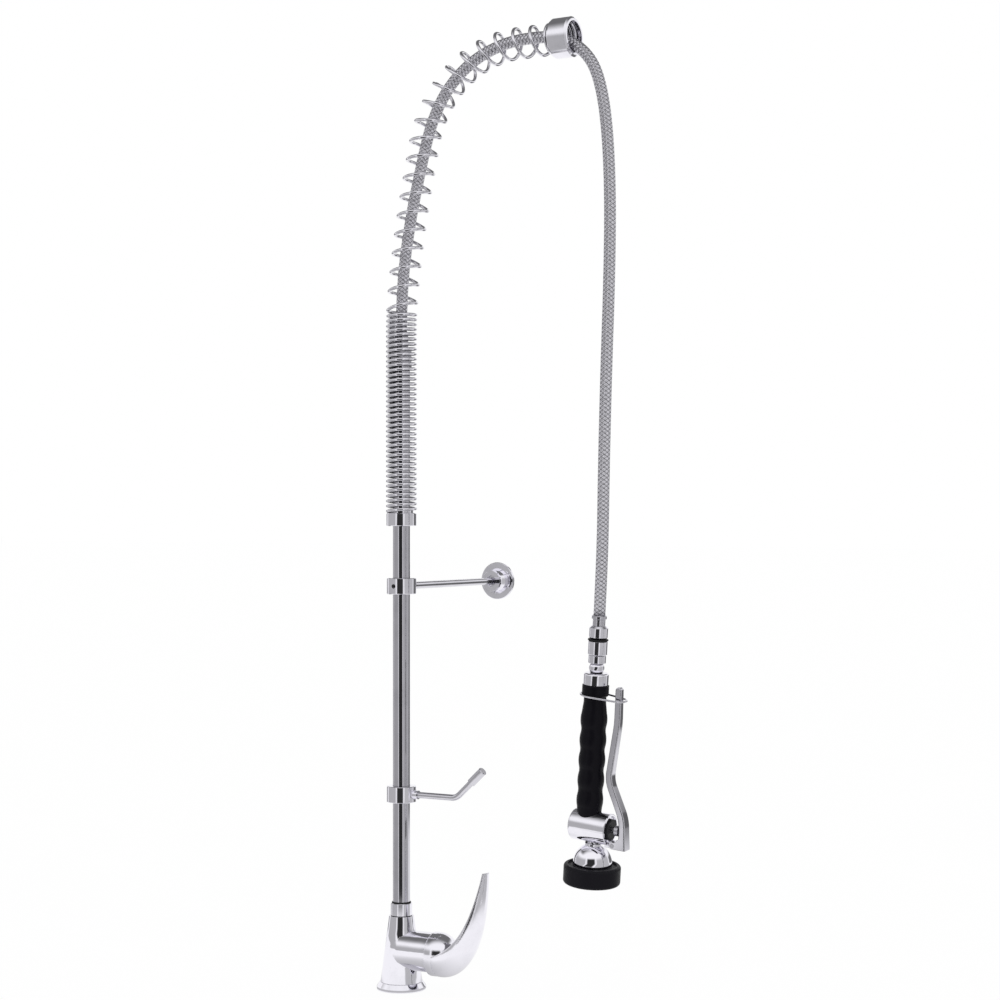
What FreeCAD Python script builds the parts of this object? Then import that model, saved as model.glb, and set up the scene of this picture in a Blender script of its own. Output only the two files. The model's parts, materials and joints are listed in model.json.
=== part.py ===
import FreeCAD, Part
import math
import os
import re
import Sketcher

# A deck-mounted pre-rinse kitchen faucet: a single-lever mixer, a tall riser held by a wall
# bracket, a spring arch that carries a braided hose, and a hand spray with a squeeze lever.
# Millimetres, +Z up. The origin is the centre of the mixer's foot on the deck. +X is the way
# the arch, the mixer's neck and the hook point, and +Y points to the wall.

V = FreeCAD.Vector
doc = FreeCAD.newDocument("spring_faucet")

# Driving dimensions

DIMENSIONS = [
    # mixer
    ("foot_od", 40.0), ("base_ring_od", 53.8), ("base_ring_top_od", 47.5), ("base_ring_height", 8.0),
    ("base_ring_rim", 3.0), ("gasket_width", 3.0), ("gasket_depth", 2.0), ("gasket_inset", 1.5),
    ("barrel_od", 45.6), ("barrel_top_od", 27.4), ("barrel_top", 79.8), ("neck_height", 43.0),
    ("neck_od", 43.0), ("neck_end", 42.3), ("neck_bevel", 0.6), ("neck_root", 18.15),
    ("neck_lead", 6.0), ("neck_swell", 6.6), ("cavity_floor", 9.0), ("cavity_od", 36.4),
    ("port_od", 6.0), ("outlet_od", 8.0), ("inlet_od", 8.9), ("inlet_depth", 16.0),
    ("inlet_forward", 7.0), ("inlet_spread", 18.0), ("stud_od", 6.8), ("stud_depth", 15.0),
    ("stud_back", 9.0), ("riser_nut_height", 13.9), ("riser_nut_od", 23.7), ("riser_seal_height", 1.4),
    ("riser_seal_od", 21.0),
    # cartridge and lever
    ("cartridge_od", 35.0), ("cartridge_length", 25.5), ("cartridge_neck_od", 29.0),
    ("cartridge_neck", 2.0), ("seal_od", 8.4), ("seal_id", 6.4), ("seal_seat", 1.2),
    ("cartridge_nut_length", 7.0), ("nut_key_width", 4.0), ("nut_key_depth", 2.0), ("turret_od", 25.0),
    ("turret_length", 10.0), ("turret_floor", 1.5), ("slot_width", 7.6), ("slot_up", 6.0),
    ("slot_down", 7.5), ("lever_pivot", 43.0), ("stem_pin_od", 3.0), ("stem_pin_length", 20.0),
    ("stem_side", 7.0), ("stem_tail", 3.4), ("stem_reach", 15.5), ("cup_edge", 42.9), ("cup_id", 44.4),
    ("cup_drop", 0.9), ("cup_wall", 1.6), ("cup_straight", 4.0), ("cup_depth", 14.0), ("boss_od", 17.0),
    ("boss_start", 7.5), ("grub_od", 5.0), ("grub_length", 6.0), ("plug_od", 6.0), ("plug_length", 2.5),
    ("paddle_start", 52.0), ("edge_low_x", 84.0), ("edge_low_z", 55.0), ("edge_high_x", 98.0),
    ("edge_high_z", 85.0), ("outer_low_x", 90.0), ("outer_low_z", 16.0), ("outer_high_x", 108.0),
    ("outer_high_z", 75.0), ("tip_x", 106.5), ("tip_z", 135.0), ("tip_bulge", 3.0), ("tip_width", 14.0),
    ("paddle_hollow", 0.3), ("paddle_taper", 1.6),
    # riser, collars and clamps
    ("riser_od", 19.0), ("riser_wall", 1.5), ("riser_foot", 62.5), ("riser_top", 690.0),
    ("fit_gap", 0.05), ("turn_gap", 0.08), ("part_gap", 0.3), ("clamp_od", 32.6),
    ("clamp_height", 17.6), ("edge_bevel", 0.6), ("hook_height", 212.7), ("hook_od", 7.0),
    ("hook_boss_od", 9.5), ("hook_boss_reach", 22.0), ("hook_bend_reach", 70.3),
    ("hook_tip_reach", 102.5), ("hook_rise", 30.2), ("hook_bend_radius", 14.0), ("hook_tip_od", 9.5),
    ("hook_tip_length", 20.0), ("hook_tip_cap", 1.5), ("set_screw_od", 5.0), ("set_screw_length", 5.0),
    ("screw_key", 2.5), ("screw_key_depth", 2.0), ("bracket_height", 440.0), ("rod_od", 8.2),
    ("rod_seat", 12.0), ("rod_end", 204.6), ("wall_distance", 211.6), ("rosette_od", 43.6),
    ("rosette_rim", 3.0), ("rosette_hub_od", 24.0), ("rosette_hub_base_od", 30.0),
    ("rosette_hub_front", 194.6), ("rosette_mouth_od", 13.0), ("rosette_mouth_depth", 3.0),
    ("rosette_screw_back", 9.0), ("rosette_floor", 4.0),
    # spring and its collars
    ("seat_od", 33.5), ("seat_low", 505.6), ("seat_height", 14.1), ("seat_spigot", 5.0),
    ("seat_spigot_gap", 0.5), ("spring_od", 34.4), ("wire_od", 3.6), ("close_turns", 40),
    ("close_pitch", 5.45), ("open_turns", 19), ("end_turns", 5), ("end_pitch", 4.3),
    ("arch_start", 715.0), ("lean_radius", 450.0), ("lean_turn", 6.5), ("sway_radius", 1275.0),
    ("sway_turn", 5.5), ("crown_run", 36.0), ("crown_radius", 120.0), ("crown_reach", 214.3),
    ("collar_od", 42.0), ("collar_length", 23.0), ("collar_mouth", 33.0), ("collar_lip", 4.5),
    ("collar_bevel", 2.0), ("collar_gap", 0.4), ("collar_lead", 2.0),
    # hose and its ends
    ("hose_od", 12.4), ("hose_nut_flats", 22.0), ("hose_nut_height", 18.0), ("hose_nut_grip", 10.0),
    ("tail_od", 15.0), ("tail_length", 18.0),
    # hand spray, in its own frame: centre where the grip's axis meets the valve's axis
    ("handset_x", 226.75), ("handset_y", 7.5), ("handset_z", 193.6), ("handset_lean", 5.4),
    ("handset_sway", 4.0), ("ferrule_top", 222.0), ("ferrule_low", 211.0), ("ferrule_od", 13.2),
    ("ferrule_flange_od", 15.7), ("ferrule_flange", 4.0), ("sleeve_od", 19.8), ("sleeve_low", 197.4),
    ("sleeve_bevel", 2.0), ("ring_od", 21.4), ("ring_height", 1.9), ("socket_od", 20.4),
    ("socket_low", 181.0), ("socket_bore", 13.0), ("nipple_ring_od", 18.6), ("nipple_ring_low", 172.0),
    ("seal_up", 3.0), ("swivel_seal_height", 2.0), ("ball_od", 16.2), ("ball_waist_od", 11.6),
    ("ball_low", 162.0), ("nipple_bore", 8.0), ("nipple_stem", 8.0), ("cap_od", 26.4),
    ("cap_low", 150.0), ("cap_dome", 2.5), ("cap_hold", 8.0), ("tube_low", 9.5), ("tube_od", 17.0),
    ("tube_wall", 1.6), ("grip_low", 18.3), ("grip_skirt", 9.0), ("grip_collar", 12.0),
    ("grip_groove", 7.0), ("grip_od", 28.0), ("grip_groove_od", 25.5), ("grip_neck_od", 23.4),
    ("grip_foot_od", 24.5), ("grip_bulges", 5), ("grip_pitch", 21.3), ("grip_first", 27.5),
    ("grip_share", 0.65), ("valve_od", 33.0), ("valve_back", 17.0), ("valve_front", 26.0),
    ("valve_bevel", 2.5), ("valve_boss_od", 20.0), ("valve_boss_top", 18.0), ("chamber_od", 18.0),
    ("chamber_back", 13.0), ("waterway_od", 7.0), ("bonnet_od", 22.0), ("bonnet_seat", 12.0),
    ("bonnet_proud", 2.0), ("recess_od", 28.0), ("recess_depth", 2.5), ("stem_od", 6.0),
    ("knob_od", 11.0), ("knob_back", 32.0), ("knob_dome", 9.0), ("stem_head_od", 8.0),
    ("stem_head", 1.6), ("packing_od", 10.0), ("packing_height", 2.4), ("disc_od", 13.0),
    ("disc_height", 3.0), ("seat_back", 4.5), ("seat_thick", 2.0), ("seat_gap", 1.0),
    ("spigot_od", 14.0), ("spigot_low", 24.0), ("outlet_hole_od", 5.0), ("outlet_hole_forward", 10.0),
    ("return_od", 13.5), ("return_wire", 1.2), ("return_turns", 5), ("pivot_out", 31.5),
    ("pivot_down", 15.0), ("pivot_od", 4.0), ("lug_width", 6.0), ("lug_root", 21.5), ("lug_round", 3.6),
    ("yoke_gap", 0.3), ("yoke_wall", 3.2), ("yoke_step", 4.0), ("yoke_top", 4.0), ("lever_width", 6.5),
    ("lever_depth", 7.0), ("lever_face", 38.0), ("lever_play", 0.1), ("lever_tip_x", 27.9),
    ("lever_tip", 146.8), ("lever_belly_x", 28.6), ("lever_belly_z", 112.0),
    ("lever_belly_bend", 120.0), ("lever_waist_x", 22.0), ("lever_waist_z", 52.0),
    ("lever_waist_bend", 32.0), ("lever_knee_x", 40.6), ("lever_knee_z", 13.0),
    ("lever_knee_bend", 45.0), ("lever_foot_x", 43.6), ("lever_round", 1.3), ("ring_wire", 2.1),
    ("ring_tilt", 3.4), ("ring_up", 138.3), ("ring_left", 15.45), ("ring_right", 35.4),
    ("ring_big_radius", 15.45), ("ring_small_radius", 11.0), ("head_forward", 7.0), ("dome_od", 41.0),
    ("dome_low", 38.0), ("dome_neck_od", 18.0), ("dome_top", 17.0), ("dome_skirt", 8.0),
    ("dome_wall", 2.0), ("bumper_od", 60.0), ("bumper_top", 40.0), ("bumper_low", 60.3),
    ("bumper_mouth_od", 48.0), ("bumper_round", 3.0), ("bumper_rim", 4.5), ("bumper_step", 1.5),
    ("bumper_lip_od", 38.0), ("bumper_lip", 2.5), ("face_height", 3.0), ("face_bevel", 0.6),
    ("face_holes", 12), ("face_hole_od", 2.0), ("face_hole_ring", 26.0),
]

sheet = doc.addObject("Spreadsheet::Sheet", "dims")
for row, (word, number) in enumerate(DIMENSIONS, start=1):
    sheet.set(f"A{row}", word)
    sheet.set(f"B{row}", str(number))
    sheet.setAlias(f"B{row}", word)
doc.recompute()
WORDS = {word for word, number in DIMENSIONS}


# How sizes reach the pieces


def bound(text):
    """The expression with each driving dimension named in full."""
    def named(hit):
        word = hit.group()
        return f"dims.{word}" if word in WORDS else word

    return re.sub(r"[a-z_]+", named, str(text))


def size(text):
    """The number that an expression of driving dimensions comes to."""
    result = sheet.evalExpression(bound(text))
    return float(getattr(result, "Value", result))


def place(piece, x="0", y="0", z="0"):
    for axis, text in zip("xyz", (x, y, z)):
        piece.setExpression(f"Placement.Base.{axis}", bound(text))
    return piece


def arc_between(first, last, radius):
    """The arc from first to last: a positive radius turns left, a negative one turns right."""
    chord = last - first
    side = V(-chord.y, chord.x, 0).normalize()
    rise = math.sqrt(max(radius ** 2 - (chord.Length / 2) ** 2, 0.0))
    centre = (first + last) * 0.5 + side * math.copysign(rise, radius)
    ends = (first, last) if radius > 0 else (last, first)
    angles = [math.atan2(end.y - centre.y, end.x - centre.x) for end in ends]
    return Part.ArcOfCircle(Part.Circle(centre, V(0, 0, 1), abs(radius)), *angles)


def outline(body, plane, points):
    """A closed sketch through (across, up) points. A third entry is the radius of the arc that follows."""
    sketch = body.newObject("Sketcher::SketchObject", body.Name + "_outline")
    face = next(item for item in body.Origin.OriginFeatures if item.Role == plane)
    sketch.AttachmentSupport = [(face, "")]
    sketch.MapMode = "FlatFace"
    corners = [V(size(point[0]), size(point[1]), 0) for point in points]
    heads = []
    for index, point in enumerate(points):
        first, last = corners[index], corners[(index + 1) % len(points)]
        if len(point) == 3:
            turn = size(point[2])
            sketch.addGeometry(arc_between(first, last, turn))
            heads.append((1, 2) if turn > 0 else (2, 1))
        else:
            sketch.addGeometry(Part.LineSegment(first, last))
            heads.append((1, 2))
    for index, point in enumerate(points):
        after = (index + 1) % len(points)
        sketch.addConstraint(Sketcher.Constraint(
            "Coincident", index, heads[index][1], after, heads[after][0],
        ))
        for kind, text, number, axis in (
            ("DistanceX", point[0], corners[index].x, -2),
            ("DistanceY", point[1], corners[index].y, -1),
        ):
            if str(text) == "0":
                sketch.addConstraint(Sketcher.Constraint("PointOnObject", index, heads[index][0], axis))
                continue
            rule = sketch.addConstraint(Sketcher.Constraint(kind, -1, 1, index, heads[index][0], number))
            sketch.setExpression(f"Constraints[{rule}]", bound(text))
        if len(point) == 3:
            rule = sketch.addConstraint(Sketcher.Constraint("Radius", index, abs(size(point[2]))))
            sketch.setExpression(f"Constraints[{rule}]", f"abs({bound(point[2])})")
    return sketch


TURNING = {"X": ("XZ_Plane", "H_Axis"), "Y": ("YZ_Plane", "H_Axis"), "Z": ("XZ_Plane", "V_Axis")}


def turned(label, points, axis="Z"):
    """A body turned about an axis. Points are (radius, height) about Z, and (along, radius) about X or Y."""
    plane, line = TURNING[axis]
    body = doc.addObject("PartDesign::Body", label)
    sketch = outline(body, plane, points)
    turn = body.newObject("PartDesign::Revolution", label + "_turn")
    turn.Profile = sketch
    turn.ReferenceAxis = (sketch, [line])
    turn.Angle = 360
    return body


def padded(label, plane, points, depth):
    """A body of an even thickness, half to each side of a plane of its own."""
    body = doc.addObject("PartDesign::Body", label)
    sketch = outline(body, plane, points)
    pad = body.newObject("PartDesign::Pad", label + "_pad")
    pad.Profile = sketch
    pad.Midplane = True
    pad.setExpression("Length", bound(depth))
    return body


def ring(inner, outer, low, high, bevel="edge_bevel"):
    """The outline of a plain ring with its outer edges bevelled."""
    return [
        (inner, low), (f"{outer} - {bevel}", low), (outer, f"{low} + {bevel}"),
        (outer, f"{high} - {bevel}"), (f"{outer} - {bevel}", high), (inner, high),
    ]


WAYS = {
    "X": FreeCAD.Rotation(V(0, 1, 0), 90),
    "Y": FreeCAD.Rotation(V(1, 0, 0), -90),
    "Z": FreeCAD.Rotation(),
}


def rod(label, way, radius, length, x="0", y="0", z="0"):
    """A round bar or a drill that starts at a point and runs along an axis."""
    bar = doc.addObject("Part::Cylinder", label)
    bar.setExpression("Radius", bound(radius))
    bar.setExpression("Height", bound(length))
    bar.Placement = FreeCAD.Placement(V(), WAYS[way])
    return place(bar, x, y, z)


def block(label, length, width, height, x, y, z):
    """A box from its lowest corner."""
    box = doc.addObject("Part::Box", label)
    for name, text in (("Length", length), ("Width", width), ("Height", height)):
        box.setExpression(name, bound(text))
    return place(box, x, y, z)


def fused(label, pieces):
    whole = doc.addObject("Part::MultiFuse", label)
    whole.Shapes = pieces
    whole.Refine = True
    return whole


def cut(label, base, tools):
    """The base less all its tools."""
    result = doc.addObject("Part::Cut", label)
    result.Base = base
    result.Tool = tools[0] if len(tools) == 1 else fused(label + "_tools", tools)
    return result


def shaped(label, shape):
    piece = doc.addObject("Part::Feature", label)
    piece.Shape = shape
    return piece


def rounded_path(points, radii):
    """Straight runs through points, with a tangent arc at each inner point."""
    edges, start = [], points[0]
    for before, corner, after, radius in zip(points, points[1:], points[2:], radii):
        arrive, leave = (corner - before).normalize(), (after - corner).normalize()
        half = arrive.getAngle(leave) / 2
        first, last = corner - arrive * radius * math.tan(half), corner + leave * radius * math.tan(half)
        inward = (leave - arrive).normalize()
        middle = corner + inward * radius * (1 / math.cos(half) - 1)
        edges += [Part.LineSegment(start, first).toShape(), Part.Arc(first, middle, last).toShape()]
        start = last
    edges.append(Part.LineSegment(start, points[-1]).toShape())
    return Part.Wire(edges)


def round_bar(path, radius):
    """A round bar along a path that starts with its first edge."""
    edge = path.OrderedEdges[0]
    start = path.OrderedVertexes[0].Point
    ahead = edge.tangentAt(edge.FirstParameter)
    section = Part.Wire([Part.Circle(start, ahead, radius).toShape()])
    return path.makePipeShell([section], True, False)


subparts = []


def keep(*pieces):
    subparts.extend(pieces)
    return pieces[-1]


# The mixer: a tapered barrel on a bevelled base ring, with a neck on its side for the cartridge

RISER = "riser_od / 2"
GASKET_OUT = "base_ring_od / 2 - gasket_inset"
GASKET_IN = f"{GASKET_OUT} - gasket_width"

keep(turned("base_gasket", [
    (f"{GASKET_IN} + fit_gap", "0"), (f"{GASKET_OUT} - fit_gap", "0"),
    (f"{GASKET_OUT} - fit_gap", "gasket_depth"), (f"{GASKET_IN} + fit_gap", "gasket_depth"),
]))

keep(turned("base_ring", [
    ("foot_od / 2 + fit_gap", "0"), (GASKET_IN, "0"), (GASKET_IN, "gasket_depth"),
    (GASKET_OUT, "gasket_depth"),
    (GASKET_OUT, "0"), ("base_ring_od / 2", "0"), ("base_ring_od / 2", "base_ring_rim"),
    ("base_ring_top_od / 2", "base_ring_height"), ("foot_od / 2 + fit_gap", "base_ring_height"),
]))

barrel = turned("barrel", [
    ("0", "0"), ("foot_od / 2", "0"), ("foot_od / 2", "base_ring_height"),
    ("barrel_od / 2", "base_ring_height"),
    ("barrel_top_od / 2", "barrel_top"), ("0", "barrel_top"),
])
neck = place(turned("neck", [
    ("-neck_root", "0"), ("neck_end", "0"), ("neck_end", "neck_od / 2 - neck_bevel"),
    ("neck_end - neck_bevel", "neck_od / 2"), ("neck_swell", "neck_od / 2"),
    ("-neck_lead", "sqrt(neck_root^2 - neck_lead^2)", "neck_root"),
], "X"), z="neck_height")
body_tools = [
    rod("riser_socket", "Z", f"{RISER} + fit_gap", "barrel_top - riser_foot", z="riser_foot"),
    rod(
        "outlet_up", "Z", "outlet_od / 2", "riser_foot - neck_height + outlet_od / 2",
        z="neck_height - outlet_od / 2",
    ),
    rod("outlet_across", "X", "port_od / 2", "cavity_floor", z="neck_height"),
    rod(
        "cartridge_cavity", "X", "cavity_od / 2", "neck_end - cavity_floor", x="cavity_floor",
        z="neck_height",
    ),
    rod("stud_hole", "Z", "stud_od / 2", "stud_depth", x="-stud_back"),
]
for side, sign in (("hot", "-"), ("cold", "")):
    across = f"{sign}inlet_spread / 2"
    body_tools += [
        rod(f"{side}_inlet", "Z", "inlet_od / 2", "inlet_depth", "inlet_forward", across),
        rod(f"{side}_rise", "Z", "port_od / 2", "neck_height", "inlet_forward", across),
        rod(
            f"{side}_port", "X", "port_od / 2", "cavity_floor - inlet_forward", "inlet_forward", across,
            "neck_height",
        ),
    ]
keep(cut("mixer_body", fused("mixer_casting", [barrel, neck]), body_tools))

NUT_TOP = "(barrel_top + riser_nut_height)"
keep(turned("riser_nut", ring(f"{RISER} + fit_gap", "riser_nut_od / 2", "barrel_top", NUT_TOP)))
keep(turned("riser_seal", ring(
    f"{RISER} + fit_gap", "riser_seal_od / 2", NUT_TOP, f"({NUT_TOP} + riser_seal_height)",
    "riser_seal_height / 3",
)))
keep(turned("riser_tube", [
    (f"{RISER} - riser_wall", "riser_foot"), (RISER, "riser_foot"),
    (RISER, "riser_top"), (f"{RISER} - riser_wall", "riser_top"),
]))

# The cartridge in the neck, its turret, and the stem that the lever tilts

CARTRIDGE_TOP = "(cavity_floor + cartridge_length)"
TURRET_BASE = f"({CARTRIDGE_TOP} + cartridge_neck)"

cartridge = turned("cartridge_shell", [
    ("cavity_floor", "0"), (TURRET_BASE, "0"), (TURRET_BASE, "cartridge_neck_od / 2"),
    (CARTRIDGE_TOP, "cartridge_neck_od / 2"), (CARTRIDGE_TOP, "cartridge_od / 2"),
    ("cavity_floor", "cartridge_od / 2"),
], "X")
seal_places = [("hot", "-inlet_spread / 2"), ("outlet", "0"), ("cold", "inlet_spread / 2")]
seal_seats, seal_rings = [], []
for side, across in seal_places:
    seal_seats += [
        rod(f"{side}_seal_seat", "X", "seal_od / 2 + fit_gap", "seal_seat", "cavity_floor", across),
        rod(f"{side}_passage", "X", "port_od / 2", "cartridge_length / 2", "cavity_floor", across),
    ]
    seal_rings.append(cut(
        f"{side}_seal",
        rod(f"{side}_seal_disc", "X", "seal_od / 2", "seal_seat", "cavity_floor", across),
        [rod(f"{side}_seal_hole", "X", "seal_id / 2", "seal_seat", "cavity_floor", across)],
    ))
keep(place(cut("cartridge_body", cartridge, seal_seats), z="neck_height"))
seals = doc.addObject("Part::Compound", "cartridge_seals")
seals.Links = seal_rings
keep(place(seals, z="neck_height"))

NUT_BORE = "cartridge_neck_od / 2 + part_gap"
nut_ring = turned("cartridge_nut_ring", [
    (CARTRIDGE_TOP, NUT_BORE), (f"{CARTRIDGE_TOP} + cartridge_nut_length", NUT_BORE),
    (f"{CARTRIDGE_TOP} + cartridge_nut_length", "cavity_od / 2 - fit_gap"),
    (CARTRIDGE_TOP, "cavity_od / 2 - fit_gap"),
], "X")
nut_key = block(
    "cartridge_nut_key", "nut_key_depth", "cavity_od", "nut_key_width",
    f"{CARTRIDGE_TOP} + cartridge_nut_length - nut_key_depth", "-cavity_od / 2", "-nut_key_width / 2",
)
keep(place(cut("cartridge_nut", nut_ring, [nut_key]), z="neck_height"))

turret_disc = rod("turret_disc", "X", "turret_od / 2", "turret_length", TURRET_BASE)
turret_slot = block(
    "turret_slot", "turret_length", "slot_width", "slot_up + slot_down",
    f"{TURRET_BASE} + turret_floor", "-slot_width / 2", "-slot_down",
)
turret_bore = rod("turret_bore", "Y", "stem_pin_od / 2", "turret_od", "lever_pivot", "-turret_od / 2")
keep(place(cut("cartridge_turret", turret_disc, [turret_slot, turret_bore]), z="neck_height"))
keep(rod(
    "stem_pin", "Y", "stem_pin_od / 2", "stem_pin_length", "lever_pivot", "-stem_pin_length / 2",
    "neck_height",
))

stem_bar = block(
    "stem_bar", "stem_tail + stem_reach", "stem_side", "stem_side",
    "lever_pivot - stem_tail", "-stem_side / 2", "-stem_side / 2",
)
stem_bore = rod("stem_bore", "Y", "stem_pin_od / 2 + turn_gap", "stem_side", "lever_pivot", "-stem_side / 2")
keep(place(cut("cartridge_stem", stem_bar, [stem_bore]), z="neck_height"))

# The lever handle: a cup over the neck's end that sweeps out and up into a paddle

CUP = "(cup_id / 2 + cup_wall)"
cup = place(turned("handle_cup", [
    ("cup_edge", "0"), (f"cup_edge + cup_straight + {CUP}", "0", CUP), ("cup_edge + cup_straight", CUP),
    ("cup_edge", CUP),
], "X"), z="neck_height - cup_drop")


def curve_point(share, points):
    """A point of the smooth curve that four poles steer."""
    left = 1 - share
    weights = (left ** 3, 3 * left ** 2 * share, 3 * left * share ** 2, share ** 3)
    return sum((pole * weight for pole, weight in zip(points, weights)), V())


def paddle_section(share):
    """The crescent across the paddle: its two edges, its outer face and its hollow inner face."""
    edge_poles = [
        V(size("paddle_start"), 0, size("neck_height")), V(size("edge_low_x"), 0, size("edge_low_z")),
        V(size("edge_high_x"), 0, size("edge_high_z")), V(size("tip_x"), 0, size("tip_z")),
    ]
    outer_poles = [
        V(size("paddle_start"), 0, size(f"neck_height - cup_drop - {CUP}")),
        V(size("outer_low_x"), 0, size("outer_low_z")),
        V(size("outer_high_x"), 0, size("outer_high_z")), V(size("tip_x + tip_bulge"), 0, size("tip_z")),
    ]
    edge, outer = curve_point(share, edge_poles), curve_point(share, outer_poles)
    inner = edge + (outer - edge) * size("paddle_hollow")
    waist = size(CUP) + (size("tip_width / 2") - size(CUP)) * share ** size("paddle_taper")
    near, far = edge - V(0, waist, 0), edge + V(0, waist, 0)
    return Part.Wire([Part.Arc(near, outer, far).toShape(), Part.Arc(far, inner, near).toShape()])


PADDLE_SECTIONS = 8
paddle = shaped("paddle", Part.makeLoft(
    [paddle_section(index / (PADDLE_SECTIONS - 1)) for index in range(PADDLE_SECTIONS)], True, False
))
BOSS_START = "(lever_pivot + boss_start)"
CUP_FLOOR = "(cup_edge + cup_depth)"
cup_hollow = place(turned("cup_hollow", [
    ("cup_edge", "0"), (CUP_FLOOR, "0"),
    (CUP_FLOOR, "sqrt((cup_id / 2)^2 - (cup_depth - cup_straight)^2)", "cup_id / 2"),
    ("cup_edge + cup_straight", "cup_id / 2"), ("cup_edge", "cup_id / 2"),
], "X"), z="neck_height - cup_drop")
handle_boss = rod(
    "handle_boss", "X", "boss_od / 2", f"{CUP_FLOOR} - {BOSS_START} + edge_bevel", BOSS_START,
    z="neck_height",
)
stem_socket = block(
    "stem_socket", "stem_reach - boss_start + fit_gap", "stem_side + 2 * fit_gap", "stem_side + 2 * fit_gap",
    BOSS_START, "-stem_side / 2 - fit_gap", "neck_height - stem_side / 2 - fit_gap",
)
GRUB_X = "(lever_pivot + boss_start + grub_od)"
grub_hole = rod("grub_hole", "Z", "grub_od / 2", "neck_height", GRUB_X)
plug_hole = rod("plug_hole", "Z", "plug_od / 2", "neck_height - boss_od / 2 - plug_od / 4", GRUB_X)
handle_shell = cut("handle_shell", fused("handle_form", [cup, paddle]), [cup_hollow])
keep(cut(
    "mixer_handle", fused("handle_with_boss", [handle_shell, handle_boss]),
    [stem_socket, grub_hole, plug_hole],
))
STEM_UNDER = "(neck_height - stem_side / 2)"
keep(cut(
    "handle_grub_screw",
    rod("grub_bar", "Z", "grub_od / 2", "grub_length", GRUB_X, z=f"{STEM_UNDER} - grub_length"),
    [rod("grub_key", "Z", "screw_key / 2", "screw_key_depth", GRUB_X, z=f"{STEM_UNDER} - grub_length")],
))
CUP_BOTTOM = f"(neck_height - cup_drop - {CUP})"
keep(turned("indicator_plug", [
    ("0", "0"), ("plug_od / 2 - fit_gap - edge_bevel", "0"), ("plug_od / 2 - fit_gap", "edge_bevel"),
    ("plug_od / 2 - fit_gap", "plug_length"), ("0", "plug_length"),
]))
place(subparts[-1], x=GRUB_X, z=CUP_BOTTOM)

# The two clamps on the riser: one carries the hook, the other the rod to the wall


def clamp(label, height, way, bar_od, bar_seat, extra):
    """A clamp ring with a seat for its bar on one side and a set screw opposite."""
    body = turned(label + "_ring", ring(
        f"{RISER} + turn_gap", "clamp_od / 2", f"({height} - clamp_height / 2)",
        f"({height} + clamp_height / 2)",
    ))
    seat_at = {"x": "0", "y": "0", "z": height}
    screw_at = {"x": "0", "y": "0", "z": height}
    seat_at[way.lower()] = bar_seat
    screw_at[way.lower()] = "-clamp_od / 2"
    seat = rod(label + "_seat", way, f"{bar_od} / 2", "clamp_od", **seat_at)
    screw_hole = rod(label + "_screw_hole", way, "set_screw_od / 2", f"clamp_od / 2 - {RISER}", **screw_at)
    return cut(label, fused(label + "_form", [body] + extra) if extra else body, [seat, screw_hole])


def set_screw(label, height, way):
    """A socket set screw, sunk in the clamp and just clear of the riser."""
    at = {"x": "0", "y": "0", "z": height}
    at[way.lower()] = f"-({RISER} + part_gap + set_screw_length)"
    bar = rod(label + "_bar", way, "set_screw_od / 2", "set_screw_length", **at)
    key = rod(label + "_key", way, "screw_key / 2", "screw_key_depth", **at)
    return cut(label, bar, [key])


HOOK_SEAT = f"({RISER} + part_gap + edge_bevel)"
hook_boss = rod(
    "hook_boss", "X", "hook_boss_od / 2", f"hook_boss_reach - {HOOK_SEAT}", HOOK_SEAT, z="hook_height",
)
keep(clamp("hook_clamp", "hook_height", "X", "hook_od", HOOK_SEAT, [hook_boss]))
keep(set_screw("hook_screw", "hook_height", "X"))
hook_points = [
    V(size(HOOK_SEAT), 0, size("hook_height")),
    V(size("hook_bend_reach"), 0, size("hook_height")),
    V(size("hook_tip_reach"), 0, size("hook_height + hook_rise")),
]
hook_path = rounded_path(hook_points, [size("hook_bend_radius")])
keep(shaped("hook_rod", round_bar(hook_path, size("hook_od / 2"))))
keep(turned("hook_tip", [
    ("0", "0"), ("hook_od / 2", "0"), ("hook_od / 2", "hook_tip_cap - hook_tip_length"),
    ("hook_tip_od / 2", "hook_tip_cap - hook_tip_length"), ("hook_tip_od / 2", "hook_tip_cap - edge_bevel"),
    ("hook_tip_od / 2 - edge_bevel", "hook_tip_cap"), ("0", "hook_tip_cap"),
]))
place(subparts[-1], x="hook_tip_reach", z="hook_height + hook_rise")
subparts[-1].Placement.Rotation = FreeCAD.Rotation(V(0, 0, 1), hook_points[2] - hook_points[1])

keep(clamp("bracket_clamp", "bracket_height", "Y", "rod_od", "rod_seat", []))
keep(set_screw("bracket_screw", "bracket_height", "Y"))
keep(place(turned("bracket_rod", [
    ("rod_seat", "0"), ("rod_end", "0"), ("rod_end", "rod_od / 2 - edge_bevel"),
    ("rod_end - edge_bevel", "rod_od / 2"), ("rod_seat", "rod_od / 2"),
], "Y"), z="bracket_height"))

HUB_FLOOR = "(wall_distance - rosette_floor)"
rosette = turned("rosette_form", [
    (HUB_FLOOR, "0"), ("wall_distance", "0"), ("wall_distance", "rosette_od / 2"),
    ("wall_distance - rosette_rim + edge_bevel", "rosette_od / 2"),
    ("wall_distance - rosette_rim", "rosette_od / 2 - edge_bevel"),
    ("wall_distance - rosette_rim", "rosette_hub_base_od / 2"),
    ("rosette_hub_front + rosette_mouth_depth", "rosette_hub_od / 2"),
    ("rosette_hub_front", "rosette_hub_od / 2"), ("rosette_hub_front", "rosette_mouth_od / 2"),
    ("rosette_hub_front + rosette_mouth_depth", "rosette_mouth_od / 2"),
    ("rosette_hub_front + rosette_mouth_depth", "rod_od / 2 + turn_gap"),
    (HUB_FLOOR, "rod_od / 2 + turn_gap"),
], "Y")
ROSETTE_SCREW_Y = "(wall_distance - rosette_screw_back)"
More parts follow.
